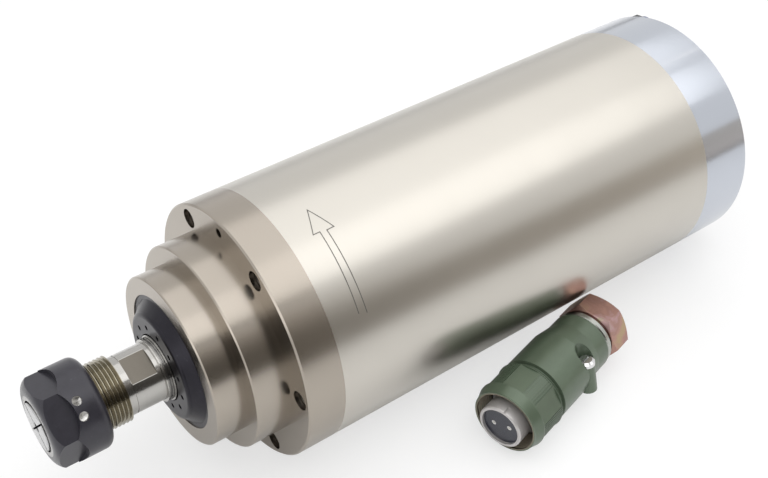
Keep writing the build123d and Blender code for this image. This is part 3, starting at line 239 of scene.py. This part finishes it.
class Finish(Graph):
    """One surface finish: a material, its nodes and the coordinates they use."""

    def __init__(self, name):
        self.material = bpy.data.materials.new(name)
        super().__init__(self.material)
        self.shader = self.node("ShaderNodeBsdfPrincipled")
        self.output = self.node("ShaderNodeOutputMaterial", inputs={"Surface": self.shader.outputs[0]})
        self.place = self.shaded(self.node("ShaderNodeTexCoord").outputs["Object"], 1 / MM)

    def surface(self, **sockets):
        """Sets the shader's sockets; underscores in a name stand for spaces."""
        for key, value in sockets.items():
            self.feed(self.shader.inputs[key.replace("_", " ").title()], value)
        return self

    def glow(self, colour):
        """Dull black that glows in a colour."""
        black = (0, 0, 0)
        return self.surface(base_color=black, roughness=1.0, emission_color=colour, emission_strength=1.0)

    def parts(self, vector=None):
        """The three numbers of a vector."""
        split = self.node("ShaderNodeSeparateXYZ", inputs={0: vector or self.place})
        return [Wire(self, output) for output in split.outputs]

    def joined(self, x, y, z):
        """A vector of three numbers."""
        return self.wire("ShaderNodeCombineXYZ", inputs={0: x, 1: y, 2: z})

    def noise(self, scale, vector=None, detail=3.0, roughness=0.5, distortion=0.0):
        """Noise from 0 to 1, with its scale in cycles to a millimetre."""
        inputs = {
            "Vector": vector or self.place,
            "Scale": scale,
            "Detail": detail,
            "Roughness": roughness,
            "Distortion": distortion,
        }
        return self.wire("ShaderNodeTexNoise", None, inputs)

    def fade(self, value, low, high, from_value=0.0, to_value=1.0):
        """A smooth step as a value goes from low to high."""
        settings = {"interpolation_type": "SMOOTHSTEP"}
        inputs = {0: value, 1: low, 2: high, 3: from_value, 4: to_value}
        return self.wire("ShaderNodeMapRange", settings, inputs)

    def mixed(self, factor, first, second):
        """One colour over another."""
        return self.wire("ShaderNodeMix", {"data_type": "RGBA"}, {0: factor, 6: first, 7: second}, output=2)

    def shaded(self, colour, amount):
        """A colour or a vector, scaled by an amount that may vary."""
        return self.wire("ShaderNodeVectorMath", {"operation": "SCALE"}, {0: colour, "Scale": amount})

    def ramp(self, value, stops):
        """A colour picked from stops of (position, colour)."""
        return self.wire("ShaderNodeValToRGB", {"stops": stops}, {0: value})

    def bump(self, height, relief):
        """A normal from a height, with its relief in millimetres."""
        inputs = {"Height": height, "Distance": relief * MM, "Strength": 1.0}
        return self.wire("ShaderNodeBump", None, inputs)

    def plug_place(self):
        """Coordinates along and across the plug, in millimetres."""
        inputs = {"Vector": self.place, "Location": PLUG_FRONT, "Rotation": (PLUG_ROLL, 0, PLUG_TURN)}
        return self.wire("ShaderNodeMapping", {"vector_type": "TEXTURE"}, inputs)

    def round_place(self, vector=None):
        """Distance along the axis, radius, and angle round the axis of a turned piece."""
        x, y, z = self.parts(vector)
        radius = (y * y + z * z) ** 0.5
        return x, radius, z.maths("ARCTAN2", y)

    def turned(self, colour, roughness, grain=1.0, relief=0.004, plug=False, tone=0.10, metallic=1.0):
        """Metal turned on a lathe: rings that go right round, and faint stains from handling."""
        along, radius, _ = self.round_place(self.plug_place() if plug else self.place)
        ring = self.joined(along, radius, 0)
        fine = self.noise(grain, ring, detail=1)
        coarse = self.noise(grain * 0.3, ring, detail=1)
        cloud = self.noise(0.035, detail=3)
        smear = self.noise(0.08, detail=2)
        spread = 0.05
        light = 1 - tone / 2 + tone * cloud + (fine - 0.5) * (tone * 0.25)
        return self.surface(
            base_color=self.shaded(colour, light),
            metallic=metallic,
            roughness=roughness - spread / 2 + spread * smear + (coarse - 0.5) * (spread * 0.3),
            normal=self.bump(fine + coarse * 0.6, relief),
        )

    def worn_black(self, colour, metallic=0.75, roughness=0.33, relief=0.006, bare=None):
        """Black oxide on steel: deep, slightly blue, with a soft grey bloom and bare metal where asked."""
        bloom = self.noise(0.16, detail=5, roughness=0.6, distortion=0.6)
        grit = self.noise(3.0, detail=4, roughness=0.7)
        scuff = self.fade(self.noise(0.55, detail=6, roughness=0.75), 0.60, 0.74)
        lighter = self.mixed(bloom * 0.8, rgb(colour), rgb(colour, 2.1))
        black = self.mixed(scuff * 0.35, lighter, (0.13, 0.135, 0.15))
        if bare:
            black = self.mixed(bare, black, (0.58, 0.57, 0.55))
            metallic = metallic + bare * (1 - metallic)
        return self.surface(
            base_color=black,
            metallic=metallic,
            roughness=roughness + bloom * 0.10 + scuff * 0.08,
            normal=self.bump(grit, relief),
        )

    def moulded(self, colour, roughness=0.38, relief=0.01, coat=0.0):
        """Moulded plastic or rubber with a fine texture."""
        cloud = self.noise(0.2, detail=4)
        grit = self.noise(2.2, detail=3, roughness=0.6)
        return self.surface(
            base_color=self.shaded(rgb(colour), 0.85 + 0.3 * cloud),
            roughness=roughness + 0.12 * (cloud - 0.5),
            normal=self.bump(grit, relief),
            coat_weight=coat,
        )

    def band(self, value, low, high, soft):
        """One between two limits and zero outside them, with soft ends."""
        return self.fade(value, low - soft, low) * self.fade(value, high, high + soft, 1.0, 0.0)


def rgb(colour, amount=1.0):
    """A colour property as a plain tuple, lighter or darker by an amount."""
    return tuple(min(1.0, channel * amount) for channel in colour)


def dress(nodes, finish):
    """Gives CAD nodes a finish."""
    for name in nodes:
        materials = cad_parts[name].data.materials
        materials.clear()
        materials.append(finish.material)


def finishes():
    """The colours and gloss that the user has set."""
    return bpy.context.scene.spindle_finishes


class FinishTube(Operator):
    """Satin steel on the body tube."""

    bl_idname = "spindle.finish_tube"
    bl_label = "Finish the tube"

    def execute(self, context):
        look = finishes()
        tube = Finish("Tube_steel")
        tube.turned(look.tube_colour, look.tube_roughness, grain=1.3, relief=0.0012, tone=0.05)
        dress(["body_tube"], tube)
        return {"FINISHED"}


class FinishFront(Operator):
    """Warm nickel on the front housing, dark screws in it and in the rear cap."""

    bl_idname = "spindle.finish_front"
    bl_label = "Finish the front housing"

    def execute(self, context):
        look = finishes()
        nickel = Finish("Housing_nickel")
        nickel.turned(look.housing_colour, look.housing_roughness, relief=0.0008, tone=0.08)
        dress(["front_housing"], nickel)
        screws = Finish("Screw_dark").worn_black((0.07, 0.064, 0.058))
        dress(["front_housing_screws", "rear_cap_screws"], screws)
        return {"FINISHED"}


class FinishCover(Operator):
    """Satin black on the dust cover."""

    bl_idname = "spindle.finish_cover"
    bl_label = "Finish the dust cover"

    def execute(self, context):
        cover = Finish("Cover_black").worn_black(finishes().cover_colour, roughness=0.26, relief=0.003)
        dress(["dust_cover"], cover)
        return {"FINISHED"}


class FinishRear(Operator):
    """Cool aluminium on the rear cap."""

    bl_idname = "spindle.finish_rear"
    bl_label = "Finish the rear cap"

    def execute(self, context):
        look = finishes()
        cap = Finish("Cap_aluminium").turned(look.cap_colour, look.cap_roughness, relief=0.0012, tone=0.06)
        dress(["rear_cap"], cap)
        return {"FINISHED"}


class FinishNose(Operator):
    """Ground steel on the shaft and collet, black oxide on the nut."""

    bl_idname = "spindle.finish_nose"
    bl_label = "Finish the nose"

    def execute(self, context):
        look = finishes()
        dress(["shaft", "front_lock_ring", "rear_lock_ring"], self.ground(look.shaft_colour))
        dress(["collet"], Finish("Collet_steel").turned((0.50, 0.50, 0.50), 0.30, grain=2.2, relief=0.004))
        dress(["collet_nut", "collet_clamp_ring"], self.oxidised(look.nut_colour))
        return {"FINISHED"}

    @staticmethod
    def ground(colour):
        """Ground steel, milled and duller on the wrench flats, which also carry painted shade, brassy in the
        nose thread.
        """
        finish = Finish("Shaft_steel")
        along, radius, _ = finish.round_place()
        sunk = finish.fade(radius, NOSE_RADIUS - 0.12, NOSE_RADIUS - 0.06, 1, 0)
        milled_and_shaded = sunk * finish.band(along, FLAT_FRONT, FLAT_REAR, 0.05)
        thread = finish.fade(along, THREAD_REAR - 0.3, THREAD_REAR, 1, 0)
        steel = finish.mixed(thread, colour, (0.31, 0.285, 0.225))
        # Painted shade: the wrench flats are darkened to a dull beige, on top of their duller milled finish.
        return finish.turned(
            finish.mixed(milled_and_shaded, steel, (0.165, 0.148, 0.122)),
            0.17 + 0.22 * milled_and_shaded,
            relief=0.002,
            tone=0.14,
            metallic=1 - 0.55 * milled_and_shaded,
        )

    @staticmethod
    def oxidised(colour):
        """Black oxide, with bare steel in the drilled balance holes and a ground edge round the mouth."""
        finish = Finish("Nut_black")
        along, radius, _ = finish.round_place()
        drilled = finish.band(along, DRILLED - DRILL_RADIUS, DRILLED + DRILL_RADIUS, 0.05)
        drilled = drilled * finish.band(radius, NUT_RADIUS - DRILL_DEPTH, NUT_RADIUS - 0.25, 0.1)
        face = finish.fade(along, NUT_FACE + 0.05, NUT_FACE + 0.4, 1, 0)
        mouth = face * finish.band(radius, MOUTH_INNER, MOUTH_OUTER, 0.2)
        return finish.worn_black(colour, metallic=0.2, roughness=0.26, bare=drilled + mouth * 0.6)


class FinishBearings(Operator):
    """Polished rings and balls, moulded cages, plain spacers and spring."""

    bl_idname = "spindle.finish_bearings"
    bl_label = "Finish the bearings"

    def execute(self, context):
        polished = Finish("Bearing_steel").turned((0.66, 0.66, 0.68), 0.12, relief=0.0008)
        laminate = Finish("Cage_laminate").moulded((0.32, 0.17, 0.075))
        for end in ("front", "rear"):
            dress([f"{end}_bearing_cages"], laminate)
            dress([f"{end}_bearing_balls"], polished)
            for side in ("inner", "outer"):
                dress([f"{end}_bearing_{side}_rings", f"{end}_{side}_spacer"], polished)
        dress(["preload_spring"], Finish("Spring_steel").turned((0.36, 0.35, 0.36), 0.28))
        dress(["rear_bearing_carrier"], Finish("Carrier_steel").turned((0.50, 0.48, 0.45), 0.26))
        return {"FINISHED"}


class FinishMotor(Operator):
    """Laminations, winding, rotor cage and leads."""

    bl_idname = "spindle.finish_motor"
    bl_label = "Finish the motor"

    def execute(self, context):
        dress(["stator_core", "rotor_core"], self.laminated())
        dress(["stator_winding"], self.wound())
        cast = Finish("Cast_aluminium").turned((0.58, 0.59, 0.60), 0.34, relief=0.01)
        dress(["rotor_cage", "cooling_jacket"], cast)
        dress(["motor_leads"], Finish("Lead_sleeve").moulded((0.20, 0.03, 0.022), roughness=0.5))
        return {"FINISHED"}

    @staticmethod
    def laminated():
        """Thin steel sheets stacked along the axis."""
        finish = Finish("Lamination_steel")
        along, _, _ = finish.parts()
        sheet = (along * 2.0).maths("FRACT")
        gap = sheet < 0.18
        return finish.surface(
            base_color=finish.mixed(gap, (0.26, 0.26, 0.28), (0.05, 0.05, 0.055)),
            metallic=0.9,
            roughness=0.42 + 0.1 * finish.noise(0.8),
            normal=finish.bump(1 - gap, 0.02),
        )

    @staticmethod
    def wound():
        """Varnished copper wire laid side by side."""
        finish = Finish("Winding_copper")
        along, radius, turn = finish.round_place()
        strands = finish.noise(1.6, finish.joined(along * 0.12, radius, turn * 18), detail=2)
        return finish.surface(
            base_color=finish.mixed(strands, (0.30, 0.085, 0.03), (0.72, 0.30, 0.12)),
            metallic=0.85,
            roughness=0.35,
            normal=finish.bump(strands, 0.15),
            coat_weight=0.4,
        )


class FinishSeals(Operator):
    """Black rubber on every seal ring and on the plug's grommet."""

    bl_idname = "spindle.finish_seals"
    bl_label = "Finish the seals"

    def execute(self, context):
        rubber = Finish("Seal_rubber").moulded((0.012, 0.012, 0.012), roughness=0.55, relief=0.02)
        dress(["jacket_seals", "port_seals", "fitting_seals", "socket_gasket", "plug_grommet"], rubber)
        return {"FINISHED"}


class FinishFittings(Operator):
    """Black bodies, bright guides and blue release rings on the water fittings."""

    bl_idname = "spindle.finish_fittings"
    bl_label = "Finish the water fittings"

    def execute(self, context):
        black = Finish("Fitting_black").moulded((0.018, 0.018, 0.021), roughness=0.34, coat=0.2)
        blue = Finish("Release_blue").moulded((0.02, 0.05, 0.16), roughness=0.4)
        bright = Finish("Fitting_nickel").turned((0.66, 0.64, 0.58), 0.16)
        for side in ("inlet", "outlet"):
            dress([f"water_{side}_body"], black)
            dress([f"water_{side}_guide"], bright)
            dress([f"water_{side}_release_ring"], blue)
        return {"FINISHED"}


class FinishSocket(Operator):
    """Chrome shell, dark insert, pins and screws of the power socket."""

    bl_idname = "spindle.finish_socket"
    bl_label = "Finish the socket"

    def execute(self, context):
        look = finishes()
        dress(["socket_shell"], Finish("Socket_chrome").turned((0.62, 0.62, 0.62), 0.17))
        insert = Finish("Socket_insert").moulded(look.insert_colour, roughness=0.3, coat=0.3)
        dress(["socket_insulator"], insert)
        dress(["socket_pins"], Finish("Pin_brass").turned((0.70, 0.52, 0.26), 0.2))
        dress(["socket_screws"], Finish("Screw_zinc").turned((0.64, 0.64, 0.64), 0.24))
        return {"FINISHED"}


class FinishPlug(Operator):
    """Green enamel, bright ring, dark insert and rose zinc on the cable plug."""

    bl_idname = "spindle.finish_plug"
    bl_label = "Finish the cable plug"

    def execute(self, context):
        look = finishes()
        satin = Finish("Plug_satin").turned((0.52, 0.50, 0.49), 0.38, plug=True, tone=0.3, metallic=0.5)
        insert = Finish("Plug_insert").moulded(look.insert_colour, roughness=0.25, coat=0.3)
        silver = Finish("Contact_silver").turned((0.88, 0.87, 0.84), 0.35, plug=True, metallic=0.4)
        bright = Finish("Plug_zinc").turned((0.66, 0.66, 0.66), 0.20, plug=True, tone=0.2)
        grey = Finish("Washer_zinc").turned((0.40, 0.41, 0.38), 0.26, plug=True, tone=0.3)
        dress(["plug_shell", "plug_coupling_nut"], self.enamel(look.plug_colour))
        dress(["plug_ring"], satin)
        dress(["plug_insulator"], insert)
        dress(["plug_contacts"], silver)
        dress(["plug_side_screw"], bright)
        dress(["plug_washer"], grey)
        dress(["plug_clamp_nut"], self.passivated(look.clamp_colour))
        return {"FINISHED"}

    @staticmethod
    def enamel(colour):
        """Semi-gloss enamel with a little orange peel and rubbed spots, bare in the coupling nut's bore."""
        finish = Finish("Plug_enamel")
        along, radius, _ = finish.round_place(finish.plug_place())
        cloud = finish.noise(0.12, detail=4)
        peel = finish.noise(1.1, detail=2)
        specks = finish.fade(finish.noise(1.5, detail=6, roughness=0.8), 0.66, 0.76)
        green = finish.shaded(rgb(colour), 0.82 + 0.36 * cloud)
        rubbed = finish.mixed(specks * 0.4, green, rgb(colour, 2.2))
        edge = radius + (cloud - 0.5) * 0.5
        bare = finish.fade(edge, PLUG_BORE_RADIUS - 0.15, PLUG_BORE_RADIUS + 0.1, 1, 0)
        bare = bare * finish.fade(along, PLUG_BORE_END, PLUG_BORE_END + 0.5, 1, 0)
        return finish.surface(
            base_color=finish.mixed(bare, rubbed, (0.20, 0.175, 0.13)),
            metallic=0.25 + 0.55 * bare,
            roughness=0.36 + 0.12 * (cloud - 0.5),
            normal=finish.bump(peel, 0.02),
            coat_weight=0.15,
        )

    @staticmethod
    def passivated(colour):
        """Zinc whose passivation runs from gold through rose to a violet grey."""
        finish = Finish("Clamp_zinc")
        drift = finish.noise(0.11, detail=3, distortion=0.8)
        fine = finish.noise(1.2, detail=4)
        tint = finish.ramp(
            drift + (fine - 0.5) * 0.12,
            [
                (0.30, (0.42, 0.31, 0.19)),
                (0.45, rgb(colour)),
                (0.56, rgb(colour, 0.85)),
                (0.68, (0.44, 0.28, 0.28)),
                (0.80, (0.38, 0.33, 0.23)),
            ],
        )
        return finish.surface(
            base_color=tint,
            metallic=0.9,
            roughness=0.27 + 0.14 * fine,
            normal=finish.bump(fine, 0.01),
        )


def arrow_outline(arrow):
    """The arrow's open outline, from tail to tip and back, as (station, arc length from the tube's top)."""
    top = math.radians(11)
    neck = 11.5
    tail = 47.7

    def point(station, degrees):
        return arrow.tip + station * MM, BODY_RADIUS * (top + math.radians(degrees))

    return [
        point(-2.2, tail - 0.6),
        point(-1.3, neck - 0.2),
        point(-4.0, neck - 0.2),
        point(0.0, 0.0),
        point(4.3, neck + 0.2),
        point(1.3, neck + 0.3),
        point(0.9, tail + 0.5),
    ]


class EtchArrow(Operator):
    """A plain hollow arrow etched round the tube."""

    bl_idname = "spindle.etch_arrow"
    bl_label = "Etch the arrow"

    def execute(self, context):
        arrow = context.scene.spindle_arrow
        points = self.divided(arrow_outline(arrow), arrow.step)
        mesh = bpy.data.meshes.new("Tube_arrow")
        piece = bpy.data.objects.new("Tube_arrow", mesh)
        context.scene.collection.objects.link(piece)
        form = bmesh.new()
        rows = [self.section(form, points, n, arrow) for n in range(len(points))]
        for before, after in zip(rows, rows[1:]):
            for side in range(4):
                form.faces.new((before[side], before[side - 1], after[side - 1], after[side]))
        form.faces.new(rows[0])
        form.faces.new(reversed(rows[-1]))
        bmesh.ops.recalc_face_normals(form, faces=form.faces)
        form.to_mesh(mesh)
        form.free()
        finish = Finish("Arrow_etch")
        grit = finish.noise(3.5, detail=3)
        finish.surface(
            base_color=finish.mixed(grit, (0.10, 0.095, 0.088), (0.20, 0.19, 0.175)),
            metallic=0.6,
            roughness=0.55,
            normal=finish.bump(grit, 0.01),
        )
        mesh.materials.append(finish.material)
        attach(piece, "housing")
        return {"FINISHED"}

    @staticmethod
    def divided(points, step):
        """The outline with its long runs cut into short ones that follow the tube."""
        out = [Vector(points[0])]
        for first, second in zip(points, points[1:]):
            first, second = Vector(first), Vector(second)
            count = max(1, math.ceil((second - first).length / step))
            out += [first.lerp(second, (n + 1) / count) for n in range(count)]
        return out

    @staticmethod
    def section(form, points, n, arrow):
        """Four corners of the line's section at one point, mitred where it turns."""
        before = points[max(n - 1, 0)]
        after = points[min(n + 1, len(points) - 1)]
        here = points[n]
        first = (here - before).normalized() if n else (after - here).normalized()
        second = (after - here).normalized() if n < len(points) - 1 else first
        middle = (first + second).normalized()
        across = Vector((-middle.y, middle.x))
        width = arrow.line_width / 2 / max(0.3, across.dot(Vector((-first.y, first.x))))
        corners = []
        for side, height in ((1, 0.5), (1, -0.5), (-1, -0.5), (-1, 0.5)):
            spot = here + across * width * side
            radius = BODY_RADIUS + arrow.line_depth * height
            turn = math.pi / 2 + spot.y / BODY_RADIUS
            corner = (TUBE_FRONT.x + spot.x, radius * math.cos(turn), radius * math.sin(turn))
            corners.append(form.verts.new(corner))
        return corners


def plane_piece(name, corners, collection):
    """A flat studio piece of one face."""
    mesh = bpy.data.meshes.new(name)
    mesh.from_pydata([Vector(corner) for corner in corners], [], [range(len(corners))])
    piece = bpy.data.objects.new(name, mesh)
    collection.objects.link(piece)
    return piece


def hang_card(context, name, corners, finish):
    """A flat studio piece that shows in reflections alone."""
    card = plane_piece(name, corners, context.scene.collection)
    card.data.materials.append(finish.material)
    card.visible_camera = False
    card.visible_diffuse = False
    card.visible_shadow = False


def hang_lamp(context, name, place, aim, size, radiance):
    """A rectangular soft lamp with a dark back, out of the camera's sight."""
    lamp = bpy.data.lights.new(name, "AREA")
    lamp.shape = "RECTANGLE"
    lamp.size, lamp.size_y = size
    lamp.energy = radiance * math.pi * size[0] * size[1]
    holder = bpy.data.objects.new(name, lamp)
    context.scene.collection.objects.link(holder)
    holder.location = place
    holder.rotation_euler = aim
    holder.visible_camera = False
    turn = Euler(aim).to_matrix()
    x, y = size[0] / 2, size[1] / 2
    behind = 0.005
    square = ((-x, -y), (x, -y), (x, y), (-x, y))
    corners = [Vector(place) + turn @ Vector((a, b, behind)) for a, b in square]
    cloth = Finish(f"{name}_cloth").surface(base_color=(0.01, 0.01, 0.01), roughness=1.0)
    hang_card(context, f"{name}_back", corners, cloth)


class SetStudio(Operator):
    """Pale floor, soft lamps, world and camera."""

    bl_idname = "spindle.set_studio"
    bl_label = "Set the studio"

    def execute(self, context):
        studio = context.scene.spindle_studio
        self.set_view(context.scene)
        self.lay_floor(context, studio)
        self.hang_lamps(context, studio)
        self.stand_cards(context)
        self.light_world(context, studio)
        self.place_camera(context, studio)
        return {"FINISHED"}

    @staticmethod
    def set_view(scene):
        """Colours as they are, with no film curve."""
        scene.view_settings.view_transform = "Standard"

    @staticmethod
    def lay_floor(context, studio):
        """White paper, lifted towards pure white where the camera or a mirror sees it."""
        reach = 6.0
        square = ((-reach, -reach), (reach, -reach), (reach, reach), (-reach, reach))
        corners = [(x, y, FLOOR_HEIGHT) for x, y in square]
        floor = plane_piece("Studio_floor", corners, context.scene.collection)
        paper = Finish("Floor_paper")
        grain = paper.noise(0.5, detail=3)
        paper.surface(base_color=paper.shaded(studio.floor_colour, 0.985 + 0.03 * grain), roughness=0.8)
        white = paper.node("ShaderNodeEmission", inputs={"Color": (1, 1, 1), "Strength": 1.0})
        lift = (0.2 * paper.seen() + 0.8 * paper.ray("Camera")) * studio.floor_lift
        inputs = {0: lift, 1: paper.shader.outputs[0], 2: white.outputs[0]}
        both = paper.node("ShaderNodeMixShader", inputs=inputs)
        paper.feed(paper.output.inputs["Surface"], both.outputs[0])
        floor.data.materials.append(paper.material)

    @staticmethod
    def hang_lamps(context, studio):
        """Two long lamps 1 m from the body's axis and a small one in front of the nose."""
        lamps = (
            ("Key_lamp", 112.5, 0.63, studio.key_light),
            ("Fill_lamp", 71.5, 0.87, studio.fill_light),
        )
        middle = 0.05
        lamp_length = 1.9
        for name, degrees, width, radiance in lamps:
            turn = math.radians(degrees)
            place = Vector((middle, math.cos(turn), math.sin(turn)))
            aim = (turn - math.pi / 2, 0, 0)
            hang_lamp(context, name, place, aim, (lamp_length, width), radiance)
        place = Vector((-1.25, -0.42, 0.44))
        aim = place.to_track_quat("Z", "Y").to_euler()
        hang_lamp(context, "Edge_lamp", place, aim, (0.9, 0.5), studio.edge_light)

    @staticmethod
    def card_finish():
        """A glow that is paler towards the top and towards the right, a painted reflection for the metal to
        show.
        """
        dark = Finish("Card_painted_reflection")
        along, _, height = dark.parts()
        top = 1200
        tone = dark.ramp(
            height / top,
            [
                (0.0, (0.17, 0.155, 0.14)),
                (0.30, (0.15, 0.14, 0.125)),
                (0.52, (0.27, 0.25, 0.23)),
                (0.78, (0.50, 0.47, 0.44)),
                (1.0, (0.80, 0.77, 0.74)),
            ],
        )
        # Stations in millimetres along the body's axis, between which the cards grow paler.
        rise = 0.35 + dark.fade(along, 120, 340, 0, 1.45)
        rise = rise + dark.fade(along, 340, 620, 0, 0.95) + dark.fade(along, 840, 960, 0, 1.4)
        return dark.glow(dark.shaded(tone, rise))

    @classmethod
    def stand_cards(cls, context):
        """Dark glowing cards outside the view, painted reflections which metal shows as soft bands."""
        low = FLOOR_HEIGHT + 0.001
        front = -1.0
        near = -0.42
        right = 1.9
        top = 0.96
        slope = ((0.2, 1.19), (0.43, 0.82), (0.55, 0.45), (0.75, 0.36), (1.0, 0.32))
        tops = ((-1.5, 1.19), *slope, (right, 0.30))
        cards = {
            "Card_front": [(x, front, low) for x, _ in tops] + [(x, front, z) for x, z in reversed(tops)],
            "Card_floor": [(0.22, near, low), (0.5, front, low), (right, front, low), (right, near, low)],
            "Card_gap": [(0.85, 0.14, top), (1.6, 0.14, top), (1.6, 0.156, top), (0.85, 0.156, top)],
        }
        dark = cls.card_finish()
        for name, corners in cards.items():
            hang_card(context, name, corners, dark)
        # A slanted card whose right edge steps outwards: each point's x and its share of the way down.
        upper = Vector((0, -0.484, 0.759))
        lower = Vector((0, -0.596, 0.674))
        edge = ((0.0, 0.0), (0.12, 0.0), (0.135, 0.5), (0.25, 0.67), (0.30, 0.83), (0.30, 1.0), (0.0, 1.0))
        corners = [Vector((x, 0, 0)) + upper.lerp(lower, part) for x, part in edge]
        # The nose card glows a dull grey, a painted reflection in the nose.
        hang_card(context, "Card_nose", corners, Finish("Card_nose_painted_reflection").glow((0.20, 0.185, 0.17)))

    @staticmethod
    def light_world(context, studio):
        """White where it is seen or mirrored, and a weak even light elsewhere."""
        world = bpy.data.worlds.new("Studio_world")
        context.scene.world = world
        sky = Graph(world)
        inputs = {"Color": (1, 1, 1), "Strength": studio.ambient + sky.seen() * (1 - studio.ambient)}
        background = sky.node("ShaderNodeBackground", inputs=inputs)
        sky.node("ShaderNodeOutputWorld", inputs={"Surface": background.outputs[0]})

    @staticmethod
    def place_camera(context, studio):
        """A camera that stands at a distance from its target, turned round it and raised."""
        target = Vector((-41.5, 0.0, 9.5)) * MM
        around, up = studio.azimuth, studio.elevation
        back = Vector((math.sin(around) * math.cos(up), -math.cos(around) * math.cos(up), math.sin(up)))
        lens = bpy.data.cameras.new("Photo_camera")
        lens.sensor_fit = "HORIZONTAL"
        lens.sensor_width = 36.0
        lens.lens = studio.lens
        lens.clip_start = 0.01
        camera = bpy.data.objects.new("Photo_camera", lens)
        context.scene.collection.objects.link(camera)
        camera.location = target + back * studio.distance
        camera.rotation_euler = (-back).to_track_quat("-Z", "Y").to_euler()
        context.scene.camera = camera


class SpindlePanel(Panel):
    """Lists the steps that dress the spindle."""

    bl_idname = "VIEW3D_PT_spindle"
    bl_label = "Spindle"
    bl_space_type = "VIEW_3D"
    bl_region_type = "UI"
    bl_category = "Spindle"

    def draw(self, context):
        for step in STEPS:
            self.layout.operator(step.bl_idname)
        for name, kind in GROUPS.items():
            settings = getattr(context.scene, name)
            box = self.layout.box()
            for key in kind.__annotations__:
                box.prop(settings, key)


GROUPS = {
    "spindle_finishes": SpindleFinishes,
    "spindle_arrow": SpindleArrow,
    "spindle_studio": SpindleStudio,
}
STEPS = (
    SetStudio,
    FinishTube,
    FinishFront,
    FinishCover,
    FinishRear,
    FinishNose,
    FinishBearings,
    FinishMotor,
    FinishSeals,
    FinishFittings,
    FinishSocket,
    FinishPlug,
    EtchArrow,
)


def register():
    for kind in (*GROUPS.values(), *STEPS, SpindlePanel):
        bpy.utils.register_class(kind)
    for name, kind in GROUPS.items():
        setattr(bpy.types.Scene, name, PointerProperty(type=kind))


def unregister():
    for name in GROUPS:
        delattr(bpy.types.Scene, name)
    for kind in reversed((*GROUPS.values(), *STEPS, SpindlePanel)):
        bpy.utils.unregister_class(kind)


def main():
    register()
    for step in STEPS:
        group, name = step.bl_idname.split(".")
        getattr(getattr(bpy.ops, group), name)()


if __name__ == "__main__":
    main()
